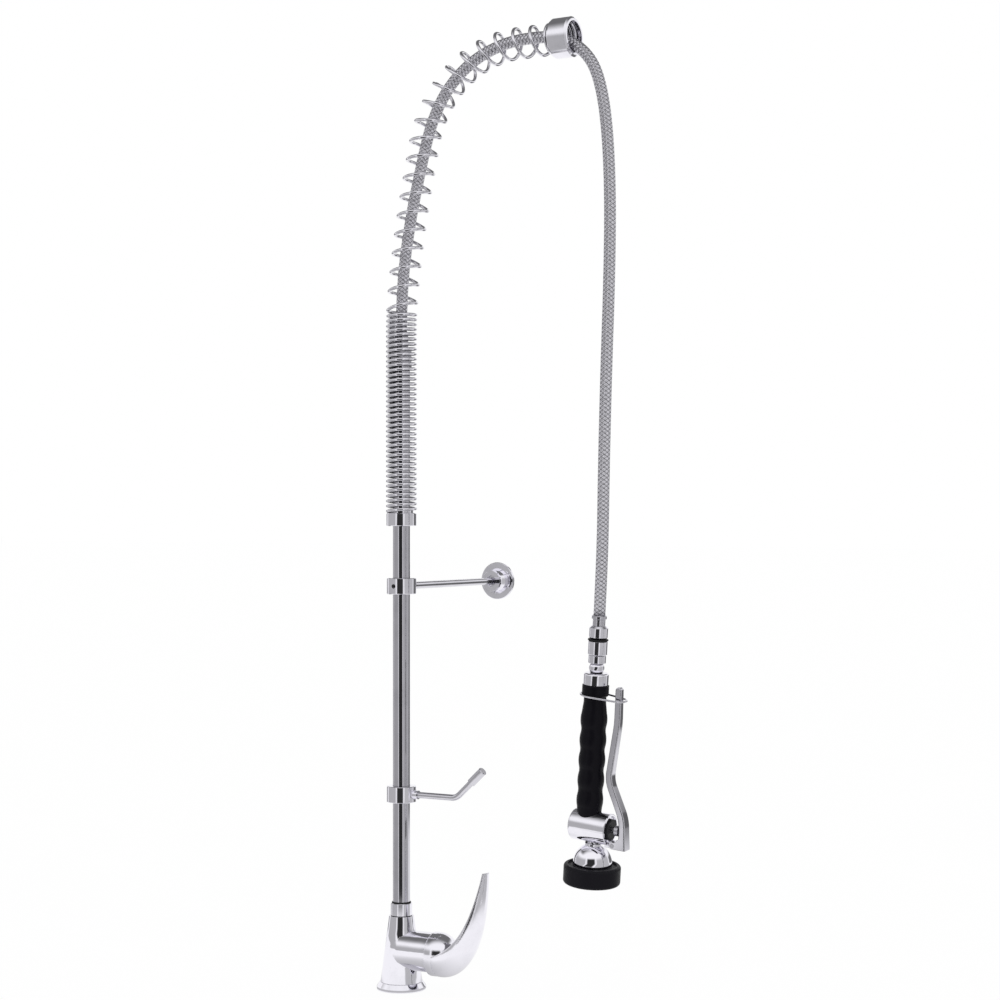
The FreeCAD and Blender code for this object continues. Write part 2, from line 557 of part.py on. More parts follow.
rosette_tools = [
    rod("wall_stud_hole", "Y", "stud_od / 2", "rosette_floor", y=HUB_FLOOR),
    rod(
        "rosette_screw_hole", "Z", "set_screw_od / 2", "rosette_od / 2 - rod_od / 2", y=ROSETTE_SCREW_Y,
        z="-rosette_od / 2",
    ),
]
keep(place(cut("wall_rosette", rosette, rosette_tools), z="bracket_height"))
ROSETTE_SCREW_LOW = "(bracket_height - rod_od / 2 - part_gap - set_screw_length)"
keep(cut(
    "rosette_screw",
    rod(
        "rosette_screw_bar", "Z", "set_screw_od / 2", "set_screw_length", y=ROSETTE_SCREW_Y,
        z=ROSETTE_SCREW_LOW,
    ),
    [rod(
        "rosette_screw_key", "Z", "screw_key / 2", "screw_key_depth", y=ROSETTE_SCREW_Y,
        z=ROSETTE_SCREW_LOW,
    )],
))

# The spring: one wire, close coils along the riser and open coils over the arch

SEAT_TOP = "(seat_low + seat_height)"
SPIGOT = "(spring_od / 2 - wire_od - seat_spigot_gap)"
keep(turned("spring_seat", [
    (f"{RISER} + fit_gap", "seat_low"), ("seat_od / 2 - edge_bevel", "seat_low"),
    ("seat_od / 2", "seat_low + edge_bevel"),
    ("seat_od / 2", f"{SEAT_TOP} - edge_bevel"), ("seat_od / 2 - edge_bevel", SEAT_TOP), (SPIGOT, SEAT_TOP),
    (SPIGOT, f"{SEAT_TOP} + seat_spigot"), (f"{RISER} + fit_gap", f"{SEAT_TOP} + seat_spigot"),
]))

LEAN = "lean_turn * 1 deg"
TILT = "(lean_turn + sway_turn) * 1 deg"
CROWN_HEIGHT = (
    f"(arch_start + lean_radius * sin({LEAN}) + sway_radius * (sin({TILT}) - sin({LEAN}))"
    f" + crown_run * cos({TILT}) + crown_radius * (1 - sin({TILT})))"
)
SPRING_START = f"({SEAT_TOP} + wire_od / 2 + fit_gap)"
SPRING_STOP = "(crown_reach - collar_lip - wire_od / 2 - fit_gap)"


def arch_line():
    """The stretches of the spring's centre line: (length, radius or nothing for a straight one)."""
    tilt = math.radians(size("lean_turn + sway_turn"))
    stretches = [
        (size(f"arch_start - {SPRING_START}"), None),
        (size("lean_radius") * math.radians(size("lean_turn")), size("lean_radius")),
        (size("sway_radius") * math.radians(size("sway_turn")), size("sway_radius")),
        (size("crown_run"), None),
        (size("crown_radius") * (math.pi / 2 - tilt), size("crown_radius")),
    ]
    lean_end = size(f"lean_radius * (1 - cos({LEAN}))")
    sway_end = lean_end + size(f"sway_radius * (cos({LEAN}) - cos({TILT}))")
    bend_end = sway_end + size(f"crown_run * sin({TILT}) + crown_radius * cos({TILT})")
    return stretches + [(size(SPRING_STOP) - bend_end, None)]


def arch_point(travel, stretches):
    """The place on the centre line after a travel, and the outward direction in the arch's plane."""
    at, heading = V(0, 0, size(SPRING_START)), 0.0
    for length, radius in stretches:
        step = min(travel, length)
        ahead, out = V(math.sin(heading), 0, math.cos(heading)), V(math.cos(heading), 0, -math.sin(heading))
        if radius is None:
            at = at + ahead * step
        else:
            turn = step / radius
            at = at + ahead * radius * math.sin(turn) + out * radius * (1 - math.cos(turn))
            heading += turn
        travel -= step
        if travel <= 0:
            break
    return at, V(math.cos(heading), 0, -math.sin(heading))


def coil(places, radius, wire):
    """A wire wound in half turns through places: centre, way to the coil's side, sideways way."""
    ends = [
        centre + out * radius * (-1) ** (index + 1)
        for index, (centre, out, across) in enumerate(places)
    ]
    edges = []
    for index, (first, last) in enumerate(zip(ends, ends[1:])):
        across = places[index][2]
        middle = (first + last) * 0.5 + across * ((last - first).Length / 2) * (-1) ** (index + 1)
        edges.append(Part.Arc(first, middle, last).toShape())
    return round_bar(Part.Wire(edges), wire / 2)


stretches = arch_line()
close_length, end_length = size("close_turns * close_pitch"), size("end_turns * end_pitch")
open_length = sum(length for length, radius in stretches) - close_length - end_length
travels = [0.0]
for turns, length in (("close_turns", close_length), ("open_turns", open_length), ("end_turns", end_length)):
    halves = round(2 * size(turns))
    travels += [travels[-1] + length * (index + 1) / halves for index in range(halves)]
coil_places = [(*arch_point(travel, stretches), V(0, 1, 0)) for travel in travels]
keep(shaped("coil_spring", coil(coil_places, size("(spring_od - wire_od) / 2"), size("wire_od"))))
open_pitch = open_length / size("open_turns")
print(f"spring: open pitch {open_pitch:.2f} mm, crown height {size(CROWN_HEIGHT):.2f} mm")

COLLAR_BACK = "(crown_reach - collar_length)"
COLLAR_BORE = "(spring_od / 2 + collar_gap)"
keep(place(turned("spring_end_collar", [
    (COLLAR_BACK, f"{COLLAR_BORE} + collar_lead / 2"), (f"{COLLAR_BACK} + collar_lead", COLLAR_BORE),
    ("crown_reach - collar_lip", COLLAR_BORE), ("crown_reach - collar_lip", "collar_mouth / 2"),
    ("crown_reach", "collar_mouth / 2"), ("crown_reach", "collar_od / 2 - collar_bevel"),
    ("crown_reach - collar_bevel", "collar_od / 2"), (f"{COLLAR_BACK} + collar_bevel", "collar_od / 2"),
    (COLLAR_BACK, "collar_od / 2 - collar_bevel / 2"),
], "X"), z=CROWN_HEIGHT))

# The braided hose from the riser's top, through the arch and down to the hand spray

NUT_LOW = "(riser_top - hose_nut_grip)"
nut_hex = doc.addObject("Part::Prism", "hose_nut_hex")
nut_hex.Polygon = 6
nut_hex.setExpression("Circumradius", bound("hose_nut_flats / 2 / cos(30 deg)"))
nut_hex.setExpression("Height", bound("hose_nut_height"))
place(nut_hex, z=NUT_LOW)
keep(cut("hose_nut", nut_hex, [
    rod("hose_nut_bore", "Z", f"{RISER} + fit_gap", "hose_nut_grip", z=NUT_LOW),
    rod("hose_nut_passage", "Z", "nipple_bore / 2", "hose_nut_height", z=NUT_LOW),
]))
TAIL_LOW = f"({NUT_LOW} + hose_nut_height)"
keep(turned("hose_tail", ring("nipple_bore / 2", "tail_od / 2", TAIL_LOW, f"({TAIL_LOW} + tail_length)")))

HOSE_ROUTE = [
    V(0, 0, 716), V(0, 0, 762), V(10, 0, 833), V(27, 0, 903), V(39.5, 0, 945.5), V(60.5, 0, 980.5),
    V(92, 0, 1006),
    V(128, 0, 1018.8), V(160, 0, 1021.4), V(187.8, 0, 1019.7), V(211.2, 0, 1011.9), V(230.6, 0, 995.8),
    V(242.9, -0.6, 973.4), V(252.9, -2.5, 930), V(259, -5.5, 856), V(260, -9.5, 766), V(258, -13, 666),
    V(256, -14.5, 566), V(253.506, -12.381, 476.642), V(247.592, -7.986, 414.075),
]
HOSE_BEND_SHARE = 0.45
hose_radii = []
for before, corner, after in zip(HOSE_ROUTE, HOSE_ROUTE[1:], HOSE_ROUTE[2:]):
    shorter = min((corner - before).Length, (after - corner).Length)
    hose_radii.append(HOSE_BEND_SHARE * shorter / math.tan((corner - before).getAngle(after - corner) / 2))
hose_path = rounded_path(HOSE_ROUTE, hose_radii)
hose = keep(shaped("hose", round_bar(hose_path, size("hose_od / 2"))))
hose_section = math.pi * size("hose_od") ** 2 / 4
print("hose radii mm:", [round(radius, 1) for radius in hose_radii])
volume_ratio = hose.Shape.Volume / (hose_section * hose_path.Length)
print(f"hose length {hose_path.Length:.1f} mm, volume ratio {volume_ratio:.5f}")

# The hand spray, modelled upright in its own frame and then leaned with the hanging hose

HAND = (
    "placement(vector(dims.handset_x; dims.handset_y; dims.handset_z); "
    "rotation(vector(0; 1; 0); dims.handset_lean) * rotation(vector(1; 0; 0); dims.handset_sway))"
)


def in_hand(*pieces):
    for piece in pieces:
        piece.setExpression("Placement", HAND)
        keep(piece)


RING_LOW = "(sleeve_low - ring_height)"
in_hand(
    turned("hose_ferrule", [
        ("nipple_bore / 2", "ferrule_low"), ("ferrule_od / 2", "ferrule_low"),
        ("ferrule_od / 2", "ferrule_top - ferrule_flange"),
        ("ferrule_flange_od / 2", "ferrule_top - ferrule_flange + edge_bevel"),
        ("ferrule_flange_od / 2", "ferrule_top - edge_bevel"),
        ("ferrule_flange_od / 2 - edge_bevel", "ferrule_top"), ("nipple_bore / 2", "ferrule_top"),
    ]),
    turned(
        "connector_sleeve",
        ring("nipple_bore / 2", "sleeve_od / 2", "sleeve_low", "ferrule_low", "sleeve_bevel"),
    ),
    turned(
        "connector_ring",
        ring("nipple_bore / 2", "ring_od / 2", RING_LOW, "sleeve_low", "ring_height / 3"),
    ),
    turned("swivel_socket", [
        ("nipple_bore / 2", f"socket_low + nipple_stem"), ("socket_bore / 2", "socket_low + nipple_stem"),
        ("socket_bore / 2", "socket_low"), ("socket_od / 2 - edge_bevel", "socket_low"),
        ("socket_od / 2", "socket_low + edge_bevel"),
        ("socket_od / 2", f"{RING_LOW} - edge_bevel"), ("socket_od / 2 - edge_bevel", RING_LOW),
        ("nipple_bore / 2", RING_LOW),
    ]),
)
BALL_HALF = "((nipple_ring_low - ball_low) / 2)"
BALL_RISE = "((ball_od - ball_waist_od) / 2)"
NIPPLE_TOP = "(socket_low - part_gap)"
STEM_OUT = "(socket_bore / 2 - turn_gap)"
in_hand(
    turned("swivel_nipple", [
        ("nipple_bore / 2", "ball_low - cap_hold"), ("ball_waist_od / 2", "ball_low - cap_hold"),
        ("ball_waist_od / 2", "ball_low", f"({BALL_HALF}^2 + {BALL_RISE}^2) / (2 * {BALL_RISE})"),
        ("ball_waist_od / 2", "nipple_ring_low"), ("nipple_ring_od / 2 - edge_bevel", "nipple_ring_low"),
        ("nipple_ring_od / 2", "nipple_ring_low + edge_bevel"),
        ("nipple_ring_od / 2", f"{NIPPLE_TOP} - edge_bevel"),
        ("nipple_ring_od / 2 - edge_bevel", NIPPLE_TOP), (STEM_OUT, NIPPLE_TOP),
        (STEM_OUT, f"{NIPPLE_TOP} + seal_up"), (f"{STEM_OUT} - seal_seat", f"{NIPPLE_TOP} + seal_up"),
        (f"{STEM_OUT} - seal_seat", f"{NIPPLE_TOP} + seal_up + swivel_seal_height"),
        (STEM_OUT, f"{NIPPLE_TOP} + seal_up + swivel_seal_height"),
        (STEM_OUT, f"{NIPPLE_TOP} + nipple_stem"),
        ("nipple_bore / 2", f"{NIPPLE_TOP} + nipple_stem"),
    ]),
    turned("swivel_seal", [
        (f"{STEM_OUT} - seal_seat", f"{NIPPLE_TOP} + seal_up"), (STEM_OUT, f"{NIPPLE_TOP} + seal_up"),
        (STEM_OUT, f"{NIPPLE_TOP} + seal_up + swivel_seal_height"),
        (f"{STEM_OUT} - seal_seat", f"{NIPPLE_TOP} + seal_up + swivel_seal_height"),
    ]),
    turned("grip_cap", [
        ("tube_od / 2 + fit_gap", "cap_low"), ("cap_od / 2", "cap_low"),
        ("cap_od / 2", "ball_low - cap_dome", "cap_dome"),
        ("cap_od / 2 - cap_dome", "ball_low"), ("ball_waist_od / 2 + fit_gap", "ball_low"),
        ("ball_waist_od / 2 + fit_gap", "ball_low - cap_hold"),
        ("tube_od / 2 + fit_gap", "ball_low - cap_hold"),
    ]),
    turned("handle_tube", [
        ("tube_od / 2 - tube_wall", "tube_low"), ("tube_od / 2", "tube_low"),
        ("tube_od / 2", "ball_low - cap_hold"), ("tube_od / 2 - tube_wall", "ball_low - cap_hold"),
    ]),
)

# The ribbed grip: a row of bulges and valleys made of arcs that run smoothly into each other

RIB_TURN = "(2 * atan((grip_od - grip_groove_od) / grip_pitch))"
RIB_SUM = f"(grip_pitch / 2 / sin({RIB_TURN}))"
BULGE, VALLEY = f"({RIB_SUM} * grip_share)", f"({RIB_SUM} * (1 - grip_share))"
BULGE_HALF = f"({BULGE} * sin({RIB_TURN}))"
BULGE_EDGE = f"(grip_od / 2 - {BULGE} * (1 - cos({RIB_TURN})))"
grip_outline = [
    ("tube_od / 2 + fit_gap", "grip_low"), ("valve_boss_od / 2 + part_gap", "grip_low"),
    ("valve_boss_od / 2 + part_gap", "grip_skirt"), ("grip_foot_od / 2", "grip_skirt"),
]
bulges = round(size("grip_bulges"))
for number in range(bulges):
    middle = f"grip_first + {number} * grip_pitch"
    grip_outline.append((BULGE_EDGE, f"{middle} - {BULGE_HALF}", BULGE))
    grip_outline.append((BULGE_EDGE, f"{middle} + {BULGE_HALF}", f"-{VALLEY}") if number < bulges - 1 else (
        BULGE_EDGE, f"{middle} + {BULGE_HALF}"))
GRIP_COLLAR_LOW = "(cap_low - grip_collar)"
grip_outline += [
    ("grip_neck_od / 2", f"{GRIP_COLLAR_LOW} - grip_groove"), ("grip_neck_od / 2", GRIP_COLLAR_LOW),
    ("grip_od / 2 - collar_bevel / 2", GRIP_COLLAR_LOW),
    ("grip_od / 2", f"{GRIP_COLLAR_LOW} + collar_bevel / 2"),
    ("grip_od / 2", "cap_low - collar_bevel / 2"), ("grip_od / 2 - collar_bevel / 2", "cap_low"),
    ("tube_od / 2 + fit_gap", "cap_low"),
]
saddle = rod("grip_saddle", "X", "valve_od / 2 + part_gap", "2 * grip_od", "-grip_od")
in_hand(cut("grip", turned("grip_form", grip_outline), [saddle]))

# The wire ring that drops over the lever's tip and holds the spray open

loop_radii = (size("ring_big_radius"), size("ring_small_radius"))
loop_centres = (size("ring_big_radius - ring_left"), size("ring_right - ring_small_radius"))
loop_tilt = math.acos((loop_radii[0] - loop_radii[1]) / (loop_centres[1] - loop_centres[0]))
level, sag = size("ring_up"), math.radians(size("ring_tilt"))


def loop_point(side, angle):
    out = loop_centres[side] + loop_radii[side] * math.cos(angle)
    return V(out * math.cos(sag), loop_radii[side] * math.sin(angle), level - out * math.sin(sag))


loop = Part.Wire([
    Part.LineSegment(loop_point(1, loop_tilt), loop_point(0, loop_tilt)).toShape(),
    Part.Arc(loop_point(0, loop_tilt), loop_point(0, math.pi), loop_point(0, -loop_tilt)).toShape(),
    Part.LineSegment(loop_point(0, -loop_tilt), loop_point(1, -loop_tilt)).toShape(),
    Part.Arc(loop_point(1, -loop_tilt), loop_point(1, 0), loop_point(1, loop_tilt)).toShape(),
])
in_hand(shaped("lock_ring", round_bar(loop, size("ring_wire / 2"))))

# The spray valve: a plunger lifts a disc off its seat against a return spring

barrel_form = turned("valve_barrel", [
    ("-valve_back", "0"), ("valve_front", "0"), ("valve_front", "valve_od / 2 - edge_bevel"),
    ("valve_front - edge_bevel", "valve_od / 2"),
    ("valve_bevel - valve_back", "valve_od / 2", "valve_bevel"),
    ("-valve_back", "valve_od / 2 - valve_bevel"),
], "X")
valve_boss = rod("valve_boss", "Z", "valve_boss_od / 2", "valve_boss_top")
spigot = rod("spray_spigot", "Z", "spigot_od / 2", "spigot_low", "head_forward", z="-spigot_low")
lug_bar = block(
    "lug_bar", "pivot_out - lug_root", "lug_width", "2 * lug_round", "lug_root", "-lug_width / 2",
    "-pivot_down - lug_round",
)
lug_eye = rod("lug_eye", "Y", "lug_round", "lug_width", "pivot_out", "-lug_width / 2", "-pivot_down")
BONNET_BACK = "(valve_front - bonnet_seat)"
valve_tools = [
    rod("valve_chamber", "X", "chamber_od / 2", f"chamber_back + {BONNET_BACK}", "-chamber_back"),
    rod("bonnet_hole", "X", "bonnet_od / 2 + fit_gap", "bonnet_seat", BONNET_BACK),
    rod("front_recess", "X", "recess_od / 2", "recess_depth", "valve_front - recess_depth"),
    rod("tube_hole", "Z", "tube_od / 2 + fit_gap", "valve_boss_top - tube_low", z="tube_low"),
    rod("valve_inlet", "Z", "waterway_od / 2", "tube_low"),
    rod("valve_outlet", "Z", "outlet_hole_od / 2", "spigot_low", "outlet_hole_forward", z="-spigot_low"),
    rod("lug_bore", "Y", "pivot_od / 2", "lug_width", "pivot_out", "-lug_width / 2", "-pivot_down"),
]
valve_form = fused("valve_form", [barrel_form, valve_boss, spigot, lug_bar, lug_eye])
in_hand(
    cut("valve_body", valve_form, valve_tools),
    turned("bonnet", [
        (BONNET_BACK, "packing_od / 2"), (f"{BONNET_BACK} + packing_height", "packing_od / 2"),
        (f"{BONNET_BACK} + packing_height", "stem_od / 2 + turn_gap"),
        ("valve_front + bonnet_proud", "stem_od / 2 + turn_gap"),
        ("valve_front + bonnet_proud", "bonnet_od / 2 - edge_bevel"),
        ("valve_front + bonnet_proud - edge_bevel", "bonnet_od / 2"),
        (BONNET_BACK, "bonnet_od / 2"),
    ], "X"),
    turned("packing", [
        (BONNET_BACK, "stem_od / 2 + turn_gap"),
        (f"{BONNET_BACK} + packing_height", "stem_od / 2 + turn_gap"),
        (f"{BONNET_BACK} + packing_height", "packing_od / 2"), (BONNET_BACK, "packing_od / 2"),
    ], "X"),
    turned("valve_seat", [
        ("seat_back", "stem_od / 2 + seat_gap"), ("seat_back + seat_thick", "stem_od / 2 + seat_gap"),
        ("seat_back + seat_thick", "chamber_od / 2"), ("seat_back", "chamber_od / 2"),
    ], "X"),
)
DISC_FRONT = "(seat_back - fit_gap)"
DISC_BACK = f"({DISC_FRONT} - disc_height)"
KNOB_END = "(lever_face - lever_play)"
in_hand(
    turned("plunger", [
        (f"{DISC_BACK} - stem_head", "0"), (KNOB_END, "0", "knob_dome"),
        (f"{KNOB_END} - knob_dome + sqrt(knob_dome^2 - (knob_od / 2)^2)", "knob_od / 2"),
        ("knob_back", "knob_od / 2"), ("knob_back", "stem_od / 2"), (DISC_BACK, "stem_od / 2"),
        (DISC_BACK, "stem_head_od / 2"), (f"{DISC_BACK} - stem_head", "stem_head_od / 2"),
    ], "X"),
    turned("valve_disc", [
        (DISC_BACK, "stem_od / 2"), (DISC_FRONT, "stem_od / 2"), (DISC_FRONT, "disc_od / 2"),
        (DISC_BACK, "disc_od / 2"),
    ], "X"),
)
return_low, return_high = size(
    "-chamber_back + return_wire / 2 + fit_gap",
), size(f"{DISC_BACK} - return_wire / 2 - fit_gap")
return_halves = round(2 * size("return_turns"))
return_places = [
    (V(return_low + (return_high - return_low) * index / return_halves, 0, 0), V(0, 0, 1), V(0, 1, 0))
    for index in range(return_halves + 1)
]
in_hand(shaped(
    "return_spring", coil(return_places, size("(return_od - return_wire) / 2"), size("return_wire")),
))

# The squeeze lever: a flat bar bent in three places, with a yoke about the lug

FOOT_LOW = "(-pivot_down - lug_round)"
lever_points = [
    V(size("lever_tip_x"), 0, size("lever_tip")), V(size("lever_belly_x"), 0, size("lever_belly_z")),
    V(size("lever_waist_x"), 0, size("lever_waist_z")), V(size("lever_knee_x"), 0, size("lever_knee_z")),
    V(size("lever_foot_x"), 0, size(f"{FOOT_LOW} - lever_depth")),
]
lever_path = rounded_path(
    lever_points, [size("lever_belly_bend"), size("lever_waist_bend"), size("lever_knee_bend")],
)
lever_side = Part.Face(lever_path.makeOffset2D(size("lever_depth / 2"), 0))
YOKE = "(lug_width + 2 * yoke_gap + 2 * yoke_wall)"
lever_slab = shaped("lever_slab", lever_side.extrude(V(0, size(YOKE), 0)))
place(lever_slab, y=f"-{YOKE} / 2")
yoke = padded("yoke_form", "XZ_Plane", [
    ("pivot_out", FOOT_LOW, "-lug_round"), ("pivot_out - lug_round", "-pivot_down", "-lug_round"),
    ("pivot_out", "lug_round - pivot_down"),
    ("lever_face - yoke_step", "lug_round - pivot_down"),
    ("lever_face", "yoke_step - pivot_down + lug_round"),
    ("lever_face", "yoke_top"), ("lever_foot_x", "yoke_top"), ("lever_foot_x", FOOT_LOW),
], YOKE)
lever_front = padded("lever_front", "YZ_Plane", [
    (f"-{YOKE} / 2", FOOT_LOW), (f"{YOKE} / 2", FOOT_LOW),
    ("lever_width / 2", "lever_tip + lever_depth"), ("-lever_width / 2", "lever_tip + lever_depth"),
], "4 * lever_knee_x")
lever_bar = doc.addObject("Part::MultiCommon", "lever_bar")
lever_bar.Shapes = [fused("lever_blank", [lever_slab, yoke]), lever_front]
doc.recompute()


def long_edges(shape, above):
    """The numbers of the edges that run along the sides of the lever above a height."""
    found = []
    for number, edge in enumerate(shape.Edges, start=1):
        ends = [vertex.Point for vertex in edge.Vertexes]
        if min(end.z for end in ends) > above and all(abs(end.y) > size("lever_width / 4") for end in ends):
            if len({round(math.copysign(1, end.y)) for end in ends}) == 1:
                found.append(number)
    return found


lever_rounded = doc.addObject("Part::Fillet", "lever_rounded")
lever_rounded.Base = lever_bar
lever_radius = size("lever_round")
lever_rounded.Edges = [
    (number, lever_radius, lever_radius)
    for number in long_edges(lever_bar.Shape, size("yoke_top + lever_depth"))
]
yoke_slot = block(
    "yoke_slot", "lever_face - pivot_out + lug_round", "lug_width + 2 * yoke_gap", "4 * lug_round",
    "pivot_out - lug_round", "-lug_width / 2 - yoke_gap", "-pivot_down - 2 * lug_round",
)
yoke_bore = rod(
    "yoke_bore", "Y", "pivot_od / 2 + turn_gap", YOKE, "pivot_out", f"-{YOKE} / 2", "-pivot_down",
)
in_hand(cut("trigger_lever", lever_rounded, [yoke_slot, yoke_bore]))


def in_hand_at(x, z, *pieces):
    """Pieces of the hand spray whose own frame sits at a place in the hand spray's frame."""
    shift = f"placement(vector({bound(x)}; 0; {bound(z)}); rotation(vector(0; 0; 1); 0))"
    for piece in pieces:
        piece.setExpression("Placement", f"{HAND} * {shift}")
        keep(piece)


in_hand_at("pivot_out", "-pivot_down", turned("pivot_pin", [
    (f"-{YOKE} / 2", "0"), (f"{YOKE} / 2", "0"), (f"{YOKE} / 2", "pivot_od / 2"),
    (f"-{YOKE} / 2", "pivot_od / 2"),
], "Y"))

# The spray head: a chrome dome, a face with a ring of holes, and a rubber bumper

SPIGOT_HOLE = "(spigot_od / 2 + fit_gap)"
DOME = "(dome_od / 2)"
DOME_IN = "(dome_od / 2 - dome_wall)"
SKIRT_LOW = "(-dome_low - dome_skirt)"
FACE_LOW = f"({SKIRT_LOW} - face_height)"
dome = turned("spray_dome", [
    (SPIGOT_HOLE, "-dome_top"), ("dome_neck_od / 2", "-dome_top"),
    ("dome_neck_od / 2", f"sqrt({DOME}^2 - (dome_neck_od / 2)^2) - dome_low", f"-{DOME}"),
    (DOME, "-dome_low"),
    (DOME, SKIRT_LOW), (DOME_IN, SKIRT_LOW), (DOME_IN, "-dome_low", DOME_IN),
    (SPIGOT_HOLE, f"sqrt({DOME_IN}^2 - {SPIGOT_HOLE}^2) - dome_low"),
])
face_disc = turned("face_disc", [
    ("0", FACE_LOW), (f"{DOME} - face_bevel", FACE_LOW), (DOME, f"{FACE_LOW} + face_bevel"),
    (DOME, SKIRT_LOW), ("0", SKIRT_LOW),
])
face_drills = []
for number in range(round(size("face_holes"))):
    turn = f"(360 deg * {number} / face_holes)"
    face_drills.append(rod(
        f"spray_hole_{number}", "Z", "face_hole_od / 2", "face_height",
        f"face_hole_ring / 2 * cos{turn}", f"face_hole_ring / 2 * sin{turn}", FACE_LOW,
    ))
in_hand_at(
    "head_forward", "0", dome,
    cut("spray_face", face_disc, face_drills),
    turned("bumper", [
        (f"{DOME} + fit_gap", "-bumper_top - bumper_step"),
        ("bumper_od / 2 - bumper_rim", "-bumper_top - bumper_step"),
        ("bumper_od / 2 - bumper_rim", "-bumper_top"),
        ("bumper_od / 2 - bumper_round", "-bumper_top", "-bumper_round"),
        ("bumper_od / 2", "-bumper_top - bumper_round"),
        ("bumper_od / 2", "bumper_round - bumper_low", "-bumper_round"),
        ("bumper_od / 2 - bumper_round", "-bumper_low"), ("bumper_mouth_od / 2", "-bumper_low"),
        ("bumper_lip_od / 2", f"{FACE_LOW} - bumper_lip"), ("bumper_lip_od / 2", FACE_LOW),
        (f"{DOME} + fit_gap", FACE_LOW),
    ]),
)

# Every piece is checked before any is written

doc.recompute()
for item in doc.Objects:
    if {"Invalid", "Error"} & set(item.State):
        raise RuntimeError(f"{item.Label} did not build: {item.State}")
for piece in subparts:
    if piece.Shape.isNull() or not piece.Shape.isValid() or not piece.Shape.Solids:
        raise RuntimeError(f"{piece.Label} is not a sound solid")
os.makedirs("parts", exist_ok=True)
for piece in subparts:
    piece.Shape.exportStep(f"parts/{piece.Label}.step")
print(f"{len(subparts)} pieces")
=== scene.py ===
import json
import math

import bpy
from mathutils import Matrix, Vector

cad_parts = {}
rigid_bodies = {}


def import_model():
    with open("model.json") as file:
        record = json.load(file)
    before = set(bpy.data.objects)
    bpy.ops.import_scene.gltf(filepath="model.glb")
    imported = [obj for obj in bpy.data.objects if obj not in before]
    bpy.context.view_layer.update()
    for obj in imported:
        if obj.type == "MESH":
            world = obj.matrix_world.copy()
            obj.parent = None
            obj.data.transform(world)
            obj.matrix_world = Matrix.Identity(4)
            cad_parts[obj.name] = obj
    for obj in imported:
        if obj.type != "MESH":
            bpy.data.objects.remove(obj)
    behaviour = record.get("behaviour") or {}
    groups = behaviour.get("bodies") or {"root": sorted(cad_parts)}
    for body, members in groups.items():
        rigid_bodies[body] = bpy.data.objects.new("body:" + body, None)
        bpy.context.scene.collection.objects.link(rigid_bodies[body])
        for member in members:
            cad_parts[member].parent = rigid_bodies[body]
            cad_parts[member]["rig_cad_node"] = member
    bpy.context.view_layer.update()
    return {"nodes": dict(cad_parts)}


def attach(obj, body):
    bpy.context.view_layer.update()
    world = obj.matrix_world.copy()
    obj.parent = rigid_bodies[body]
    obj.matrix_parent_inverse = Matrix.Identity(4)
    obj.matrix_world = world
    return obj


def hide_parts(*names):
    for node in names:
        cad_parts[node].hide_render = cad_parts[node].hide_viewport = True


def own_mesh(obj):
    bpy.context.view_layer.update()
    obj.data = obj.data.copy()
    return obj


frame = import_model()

nodes = frame["nodes"]
scene = bpy.context.scene


# BASE RING AND MIXER BODY
# The mixer is one brass casting, a tapered barrel with a neck on its side, ground smooth and
# plated with bright chrome. It stands in a turned ring, which hides the gasket on the worktop.
def add(tree, kind, values=(), **settings):
    """A shader node with its settings and its sockets, each given a value or another node's output."""
    made = tree.nodes.new("ShaderNode" + kind)
    for name, setting in settings.items():
        setattr(made, name, setting)
    for socket, value in values:
        if isinstance(value, bpy.types.NodeSocket):
            tree.links.new(value, made.inputs[socket])
        else:
            made.inputs[socket].default_value = value
    return made


def worked(tree, operation, *values, clamp=False):
    """The result of arithmetic on shader values."""
    made = add(tree, "Math", enumerate(values), operation=operation, use_clamp=clamp)
    return made.outputs[0]


def effect(name, takes, gives):
    """An empty node group with its named inputs and outputs, for a surface effect that finishes share."""
    group = bpy.data.node_groups.new(name, "ShaderNodeTree")
    for socket, kind, value in takes:
        made = group.interface.new_socket(name=socket, in_out="INPUT", socket_type="NodeSocket" + kind)
        made.default_value = value
    for socket, kind in gives:
        group.interface.new_socket(name=socket, in_out="OUTPUT", socket_type="NodeSocket" + kind)
    return group, group.nodes.new("NodeGroupInput"), group.nodes.new("NodeGroupOutput")


def with_effect(tree, group, values=()):
    """Places a shared effect in a finish, with the finish's own values."""
    made = tree.nodes.new("ShaderNodeGroup")
    made.node_tree = group
    for socket, value in values:
        made.inputs[socket].default_value = value
    return made


# Softened edges: the small radius that polishing leaves, and a mask of where it is.
edge_contrast = 7.0
soft_edges, given, result = effect(
    "soft_edges", [("Radius", "Float", 0.0004)], [("Normal", "Vector"), ("Edge", "Float")])
bevel = add(soft_edges, "Bevel", [("Radius", given.outputs["Radius"])], samples=4)
true_face = add(soft_edges, "NewGeometry")
agree = add(soft_edges, "VectorMath", [(0, bevel.outputs["Normal"]), (1, true_face.outputs["Normal"])],
            operation="DOT_PRODUCT")
differ = worked(soft_edges, "SUBTRACT", 1.0, agree.outputs["Value"])
edge = worked(soft_edges, "MULTIPLY", differ, edge_contrast, clamp=True)
soft_edges.links.new(bevel.outputs["Normal"], result.inputs["Normal"])
soft_edges.links.new(edge, result.inputs["Edge"])

